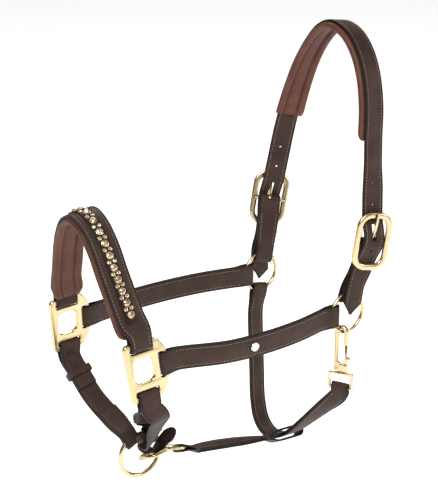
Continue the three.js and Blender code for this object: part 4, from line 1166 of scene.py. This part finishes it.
def lead_fold(end, tail_side, tail):
    return [
        (end - tail, tail_side * LAYER),
        (end - 16, tail_side * LAYER),
        (end - 4, tail_side * (LEAD_TURN - 0.2)),
        *turn(end + LEAD_REACH, 0, LEAD_TURN, tail_side * 90, -tail_side * 90),
        (end - 4, -tail_side * (LEAD_TURN - 0.2)),
        (end - 16, -tail_side * LAYER),
    ]


def narrowing(lane):
    return lambda distance: CHIN_NARROW + (CHIN_WIDTH - CHIN_NARROW) * ramp(lane.length - distance, 2, 30)


far_ring_across = (0.875, 0, 0.485)
far_chin = Lane(
    [
        (on_square(1, BOTTOM_BAR), SQUARE_ALONG),
        (on_square(1, BOTTOM_BAR - 14), SQUARE_ALONG),
        ((-259.5, 67, -62), (1, 0, 0.15)),
        ((-253.5, 47, -84), (0.98, 0, 0.25)),
        ((-247, 22, -100), (0.95, 0, 0.35)),
        (by_lead_ring(119, 12), far_ring_across),
        (by_lead_ring(119, 0), far_ring_across),
    ]
)
path = [
    *lead_fold(far_chin.length, -1, 44),
    (24, LAYER),
    (7, BAR_TURN + 0.1),
    *turn(-BAR_BACK, 0, BAR_TURN, 90, 270),
    (7, -BAR_TURN - 0.1),
    (24, -LAYER),
    (54, -LAYER),
]
ribbon = Ribbon(far_chin, path, narrowing(far_chin), LEATHER)
add_strap("far_chin", ribbon, "harness", [], node="far_chin_strap")


def keeper(name, lane, distance, body, node):
    """A narrow leather band round two layers of a strap."""
    inner, layers = CHIN_WIDTH + 5 * GAP, 2 * LEATHER + 9 * GAP
    points, outward = rounded(inner + KEEPER_THICKNESS, layers + KEEPER_THICKNESS, 1.5, steps=5)
    ring = superellipse(KEEPER_THICKNESS / 2, KEEPER_LENGTH / 2, 5.0, 16)
    rows = [[(p[0] + o[0] * a, b, p[1] + o[1] * a) for a, b in ring] for p, o in zip(points, outward)]
    matrix = lane.frame(distance, 0)
    parts = Parts().add(np.array(rows).reshape(-1, 3), grid_faces(len(rows), len(ring), True), matrix=matrix)
    parts.make(name, DARK_LEATHER, body, [node], "leather")


keeper("far_keeper_band", far_chin, 36, "far_keeper", "far_chin_keeper")

BUCKLE_PLACE = np.array([-219.5, -22, -135.2])
buckle_along = unit((0.99, 0, 0.134))
buckle_in = unit(np.array([0, 0.9, -0.436]) + 0.03 * buckle_along)
buckle_up = unit(np.cross(buckle_along, buckle_in))
CHIN_BUCKLE_LENGTH, CHIN_BUCKLE_DEPTH, CHIN_BUCKLE_RAIL = 31, 36, 4.8
HEEL_LENGTH, HEEL_DEPTH, HEEL_RAIL, HEEL_BEND = 21.5, 27, 3.4, math.radians(20)
HINGE = (CHIN_BUCKLE_LENGTH - CHIN_BUCKLE_RAIL) / 2
FRONT = -CHIN_BUCKLE_LENGTH / 2


def on_buckle(along, inwards, up):
    return tuple(BUCKLE_PLACE + buckle_along * along + buckle_in * inwards + buckle_up * up)


heel_reach = HEEL_LENGTH - HEEL_RAIL
HEEL_BAR = (HINGE + heel_reach * math.cos(HEEL_BEND), -heel_reach * math.sin(HEEL_BEND))
chin_buckle_matrix = placed(buckle_along, buckle_in, buckle_up, BUCKLE_PLACE)
bent = np.array(Matrix.Translation((HINGE, 0, 0)) @ Matrix.Rotation(HEEL_BEND, 4, "Y"))
rails = loop(CHIN_BUCKLE_LENGTH, CHIN_BUCKLE_DEPTH, CHIN_BUCKLE_RAIL, 9, CHIN_BUCKLE_RAIL, power=2.3)
chin_buckle = Parts().add(*rails, matrix=chin_buckle_matrix)
heel = loop(HEEL_LENGTH, HEEL_DEPTH, HEEL_RAIL, 4, HEEL_RAIL, ((HEEL_LENGTH - HEEL_RAIL) / 2, 0), 2.3)
chin_buckle.add(*heel, matrix=chin_buckle_matrix @ bent)
chin_buckle.make("chin_buckle_frame", BRASS, "harness", ["chin_buckle"], "brass", 60)
tongue_line = smooth_points(
    [
        (HEEL_BAR[0] + 0.6, 0, HEEL_BAR[1] + 3.4),
        (HINGE, 0, 3.85),
        (HINGE - 3, 0, 3.5),
        (HINGE - 6, 0, 1.2),
        (4, 0, -0.65),
        (-2, 0, -0.85),
        (FRONT + 8.2, 0, 0.6),
        (FRONT + 4.9, 0, 3.7),
        (FRONT + 2.6, 0, 5.2),
        (FRONT + 2.1, 0, 7.8),
    ],
    44,
)
chin_tongue = Parts().add(*tube(tongue_line, 3.4, 1.9, (0, 1, 0)), matrix=chin_buckle_matrix)
points, faces = eye(1.2, 3.4)
on_heel = placed((1, 0, 0), (0, 0, 1), (0, -1, 0), (HEEL_BAR[0], 0, HEEL_BAR[1]))
chin_tongue.add(points * np.array([1.35, 1.35, 1.0]), faces, matrix=chin_buckle_matrix @ on_heel)
chin_tongue.make("chin_tongue_piece", BRASS, "harness", ["chin_tongue"], "brass", 50)

near_ring_across = (-0.866, 0, 0.5)
backwards = (-SQUARE_ALONG[0], SQUARE_ALONG[1], -SQUARE_ALONG[2])
near_top = [(mirrored(on_square(1, BOTTOM_BAR - drop)), backwards) for drop in (0, 14)]
near_inner = Lane(
    [
        *near_top,
        ((-256, -62, -62), (-1, 0, 0.1)),
        ((-243, -42, -82), (-1, 0, 0.2)),
        ((-226, -18, -99), (-0.95, 0, 0.3)),
        (by_lead_ring(60, 12), near_ring_across),
        (by_lead_ring(60, 0), near_ring_across),
    ]
)
into_buckle = tuple(-buckle_in)
near_outer = Lane(
    [
        *near_top,
        ((-253, -84, -57), (-1, 0, -0.05)),
        ((-243.5, -63, -83), (-0.95, -0.3, 0)),
        ((-234.5, -40, -110), (-0.6, -0.75, 0.2)),
        (on_buckle(-8.5, -2, 15), into_buckle),
        (on_buckle(-7, -0.5, 7), into_buckle),
        (on_buckle(-3.8, 0, 3), into_buckle),
        (on_buckle(0.5, 0, 2), into_buckle),
        (on_buckle(5, -0.2, 3.6), into_buckle),
        (on_buckle(12.5, -4, 9.4), (-0.08, -0.95, 0.2)),
        (on_buckle(20.5, -8, 13.4), (-0.08, -0.97, 0)),
        (on_buckle(28, -12, 17.5), (-0.05, -0.97, -0.15)),
    ]
)
outer_end = near_outer.length


def tip_width(distance):
    tip = outer_end - distance
    return min(CHIN_WIDTH - (distance / outer_end) * 1.5, 24 * math.sqrt(max(0.006, min(1, tip / 12))))


inner_path = [
    *lead_fold(near_inner.length, 1, 44),
    (24, -LAYER),
    (7, -BAR_TURN - 0.2),
    *turn(-BAR_BACK, 0, BAR_TURN, 270, 90),
]
drop = near_outer.marks[4]
fine = [(drop + (outer_end - drop) * i / 30, 0, True) for i in range(31)]
outer_path = [(7, BAR_TURN + 1.4), (18, 5.2), (30, 3.4), (44, 0.6), *fine]
near_band = Ribbon(near_inner, inner_path, narrowing(near_inner), LEATHER)
near_band.joined(Ribbon(near_outer, outer_path, tip_width, LEATHER))
near_piece = add_strap("near_chin", near_band, "harness", [], node="near_chin_strap")
punched(near_piece, [(near_outer.frame(near_outer.marks[6] + 1, 0), (4.4, 13, 10), False)])
keeper("near_keeper_band", near_inner, near_inner.length - 32, "near_keeper", "near_chin_keeper")

# ---- throat and jaw straps ----

EYE_BAR = (-6.5, -81, -90)
EYE_WIDTH, EYE_HEIGHT, EYE_RAIL, EYE_THICKNESS = 30, 21, 3.3, 3.4
THROAT_TURN = EYE_THICKNESS / 2 + GAP + THIN_LEATHER / 2
SNAP_ACROSS = (-0.53, 0.85, 0)
throat = Lane(
    [
        (EYE_BAR, SNAP_ACROSS),
        ((-6.7, -80.6, -97), SNAP_ACROSS),
        ((-8, -76, -103.5), SNAP_ACROSS),
        ((-12, -58, -122), (-0.8, 0.55, 0)),
        ((-16, -37, -144), (-0.95, 0.3, 0)),
        ((-20, -16, -165), (-1, 0.05, 0)),
        ((-21.5, 0, -176.5), (-1, 0, 0)),
        ((-21.5, 16, -184.5), (-1, 0, 0)),
        ((-20, 36, -186.5), (-1, 0, 0)),
        ((-16.5, 55, -178), (-1, 0, 0)),
        ((-13, 67, -157), (-1, 0, 0.05)),
        ((-11, 72, -123), (-1, 0, 0.1)),
        ((-9, 77, -86), (-1, 0, 0.15)),
        ((-7.4, 80.5, -48), (-0.97, 0, 0.2)),
        ((-4.6, 81, -32), (-0.98, 0, 0.15)),
        ((-2.8, 81, -22.3), (-0.98, 0, 0.15)),
    ]
)
end = throat.length
path = doubled(
    turn(-2.2, 0, THROAT_TURN, 270, 90),
    [(5, THROAT_TURN), (15, THIN_LAYER), (end - 16, THIN_LAYER), (end - 4, RING_FOLD)],
    turn(end + ring_back(RING_RADIUS, THIN_WIDTH) + 1.5, 0, RING_FOLD, 90, -90),
)
ribbon = Ribbon(throat, path, THIN_WIDTH, THIN_LEATHER, True)
add_strap("throat", ribbon, "harness", span_where(ribbon, 10, end - 10), node="throat_strap")

jaw_level = (0, 0.87, -0.49)
jaw = Lane(
    [
        (on_buckle(HEEL_BAR[0], 0, HEEL_BAR[1]), tuple(buckle_in)),
        (on_buckle(HEEL_BAR[0] + 11, 0.2, HEEL_BAR[1] - 4), (0, 0.93, -0.36)),
        ((-166, -18, -147.6), (0, 0.98, -0.2)),
        ((-147, -14, -151.6), (0, 1, -0.05)),
        ((-122, -9, -157.4), (0, 1, 0)),
        ((-90, -4, -165), (0, 1, -0.05)),
        ((-62, 0, -171.5), (0, 0.97, -0.25)),
        ((-40, 0, -175.5), jaw_level),
        ((-4, 0, -177), jaw_level),
    ]
)
end = jaw.length
AROUND = 2 * THIN_LEATHER + GAP + 1.2
path = doubled(
    turn(0, 0, HEEL_RAIL / 2 + GAP + THIN_LEATHER / 2 + 0.4, 270, 90),
    [(12, THIN_LAYER), (end - 44, THIN_LAYER), (end - 34, AROUND), (end - 5, AROUND)],
    turn(end - 3, 0, AROUND, 75, -75),
)
ribbon = Ribbon(jaw, path, 18, THIN_LEATHER, True)
jaw_piece = add_strap("jaw", ribbon, "harness", span_where(ribbon, 16, end - 46), node="jaw_strap")
slot_at = jaw.frame(0, 0)
slot_at[:3, 3] -= slot_at[:3, 1] * 3
punched(jaw_piece, [(slot_at, (4.4, 22, 16), False)])
rivet = lathe([(0, -0.6), (3.1, -0.6), (3.1, -0.2), (2.7, 0.3), (1.6, 0.62), (0, 0.7)], 24)
rivet_at = jaw.frame(end - 54, THIN_LAYER + THIN_LEATHER / 2 + GAP + 0.6)
Parts().add(*rivet, matrix=rivet_at).make("jaw_rivet_head", BRASS, "harness", ["jaw_rivet"], "brass", 60)

# ---- snap hook ----

SNAP_AXIS = (-6.3, -RING_Y, 0)
HOOK_GAP, HOOK_LEG, HOOK_THICK = 3.8, 4.5, 5
HOOK_TOP, HOOK_NOSE, HOOK_BLOCK, HOOK_FOOT = -13.4, -36.5, -60, -69.5
BOLT_RADIUS, BOLT_ACROSS, BOLT_KNOB, BOLT_FOOT, BOLT_BORE = 1.6, 6, -52.4, -62.4, 2.1
facing = unit((0.35, -0.937, 0))
snap_matrix = placed(facing, (0, 0, 1), np.cross(facing, (0, 0, 1)), SNAP_AXIS)


def arc(radius, centre_y, start, stop, steps=16):
    angles = np.radians(np.linspace(start, stop, steps + 1))
    return [(radius * math.cos(a), centre_y + radius * math.sin(a)) for a in angles]


hook_outer = HOOK_GAP + HOOK_LEG
hook_bend = HOOK_TOP - hook_outer
hook_outline = [
    (hook_outer, HOOK_NOSE),
    *arc(hook_outer, hook_bend, 0, 180),
    (-hook_outer, HOOK_FOOT + 1.5),
    (-hook_outer + 1.5, HOOK_FOOT),
    (hook_outer - 1.5, HOOK_FOOT),
    (hook_outer, HOOK_FOOT + 1.5),
    (hook_outer, HOOK_BLOCK),
    (-HOOK_GAP + 1.6, HOOK_BLOCK),
    (-HOOK_GAP, HOOK_BLOCK + 1.6),
    *arc(HOOK_GAP, hook_bend, 180, 0),
    (HOOK_GAP, HOOK_NOSE),
]
hook = Parts().add(*plate(hook_outline, [], HOOK_THICK, 1.5), matrix=snap_matrix)
hook_piece = hook.make("snap_hook_body", BRASS, "snap_hook", ["snap_body"], "brass", 45)
bore = snap_matrix @ upright((BOLT_ACROSS, HOOK_BLOCK - 3, 0))
punched(hook_piece, [(bore, (2 * BOLT_BORE, 2 * BOLT_BORE, 12), True)])
bolt_top = HOOK_NOSE - GAP
rod_foot = [(0, BOLT_FOOT), (1.3, BOLT_FOOT), (BOLT_RADIUS, BOLT_FOOT + 0.3)]
rod_top = [(BOLT_RADIUS, bolt_top - 0.5), (1.2, bolt_top), (0, bolt_top)]
bolt = Parts().add(*lathe(rod_foot + rod_top, 24), matrix=snap_matrix @ upright((BOLT_ACROSS, 0, 0)))
knob = lathe([(0, 0.2), (1.5, 0.2), (1.5, 3.0), (2.1, 3.9), (2.1, 4.7), (1.5, 5.3), (0, 5.4)], 24)
sideways = placed((0, 0, 1), (0, 1, 0), (1, 0, 0), (BOLT_ACROSS, BOLT_KNOB, 0))
bolt.add(*knob, matrix=snap_matrix @ sideways)
bolt.make("snap_bolt_rod", BRASS, "snap_bolt", ["snap_bolt"], "brass", 40)
eye_facing = -unit(SNAP_ACROSS)
eye_matrix = placed(eye_facing, (0, 0, 1), np.cross(eye_facing, (0, 0, 1)), SNAP_AXIS)
eye_middle = EYE_BAR[2] + EYE_HEIGHT / 2 - EYE_RAIL / 2
eye_loop = loop(EYE_WIDTH, EYE_HEIGHT, EYE_RAIL, 3.2, EYE_THICKNESS, (0, eye_middle), 2.8)
eye_piece = Parts().add(*eye_loop, matrix=eye_matrix)
neck_top, neck_foot = HOOK_FOOT + 2.5, eye_middle + EYE_HEIGHT / 2 - 1
collar = [(0, neck_foot - 1), (3.4, neck_foot - 1), (3.4, neck_foot + 0.2), (2.2, neck_foot + 1)]
stem = [(1.8, neck_foot + 1.4), (1.8, neck_top), (0, neck_top)]
eye_piece.add(*lathe(collar + stem, 24), matrix=eye_matrix @ upright((0, 0, 0)))
eye_piece.make("snap_eye_loop", BRASS, "harness", ["snap_eye"], "brass", 50)

for node, look in (("snap_spring", BRASS), ("cheek_stud_burr", BRASS)):
    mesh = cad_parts[node].data
    mesh.materials.clear()
    mesh.materials.append(look)

# ---- floor, light and camera ----


def sheet_floor():
    made, add = material("floor", Roughness=0.9, Emission_Color=(1, 1, 1, 1), Emission_Strength=0.62)
    shade = add("TexNoise", Scale=0.6, Detail=2.0).outputs["Fac"]
    tone = ramped(add, shade, [(0.0, (0.9, 0.9, 0.9, 1)), (1.0, (0.93, 0.93, 0.93, 1))])
    linked(made, Base_Color=tone)
    size, level = 14.0, cad_box[0].z - 0.16
    mesh = bpy.data.meshes.new("floor")
    corners = [(-size, -size, level), (size, -size, level), (size, size, level), (-size, size, level)]
    mesh.from_pydata(corners, [], [(0, 1, 2, 3)])
    mesh.materials.append(made)
    floor = bpy.data.objects.new("floor", mesh)
    bpy.context.scene.collection.objects.link(floor)


def area_light(name, place, target, size, power, colour=(1, 1, 1)):
    data = bpy.data.lights.new(name, "AREA")
    data.shape, data.size, data.energy, data.color = "SQUARE", size, power, colour
    light = bpy.data.objects.new(name, data)
    light.location = place
    light.rotation_euler = (Vector(target) - Vector(place)).to_track_quat("-Z", "Y").to_euler()
    bpy.context.scene.collection.objects.link(light)


def studio():
    middle = (-0.16, 0, -0.23)
    area_light("key", (-1.5, -1.4, 1.7), middle, 1.3, 56)
    area_light("fill", (1.3, -1.6, 0.5), middle, 0.9, 12)
    area_light("back", (0.8, 1.5, 1.6), middle, 1.2, 22)
    world = bpy.data.worlds.new("studio")
    world.use_nodes = True
    tree = world.node_tree
    where = tree.nodes.new("ShaderNodeTexCoord")
    split = tree.nodes.new("ShaderNodeSeparateXYZ")
    tree.links.new(where.outputs["Generated"], split.inputs["Vector"])
    shade = tree.nodes.new("ShaderNodeValToRGB")
    shade.color_ramp.elements[0].position = 0.5
    shade.color_ramp.elements[0].color = (0.2, 0.19, 0.185, 1)
    shade.color_ramp.elements[1].position = 0.95
    shade.color_ramp.elements[1].color = (1, 1, 1, 1)
    tree.links.new(split.outputs["Z"], shade.inputs["Fac"])
    sky = tree.nodes["Background"]
    tree.links.new(shade.outputs["Color"], sky.inputs["Color"])
    sky.inputs["Strength"].default_value = 0.55
    bpy.context.scene.world = world
    bpy.context.scene.view_settings.view_transform = "Standard"


def add_camera():
    """At the photograph's angle: 35 degrees round to the near side of the front and 19.5 degrees up."""
    data = bpy.data.cameras.new("camera")
    data.sensor_width = 36
    data.lens = 108.1
    data.clip_end = 100
    camera = bpy.data.objects.new("camera", data)
    back = Vector((-0.5407, -0.7722, 0.3338)).normalized()
    camera.location = Vector((-0.1625, 0, -0.2267)) + back * 1.65
    camera.rotation_euler = back.to_track_quat("Z", "Y").to_euler()
    bpy.context.scene.collection.objects.link(camera)
    bpy.context.scene.camera = camera


sheet_floor()
studio()
add_camera()
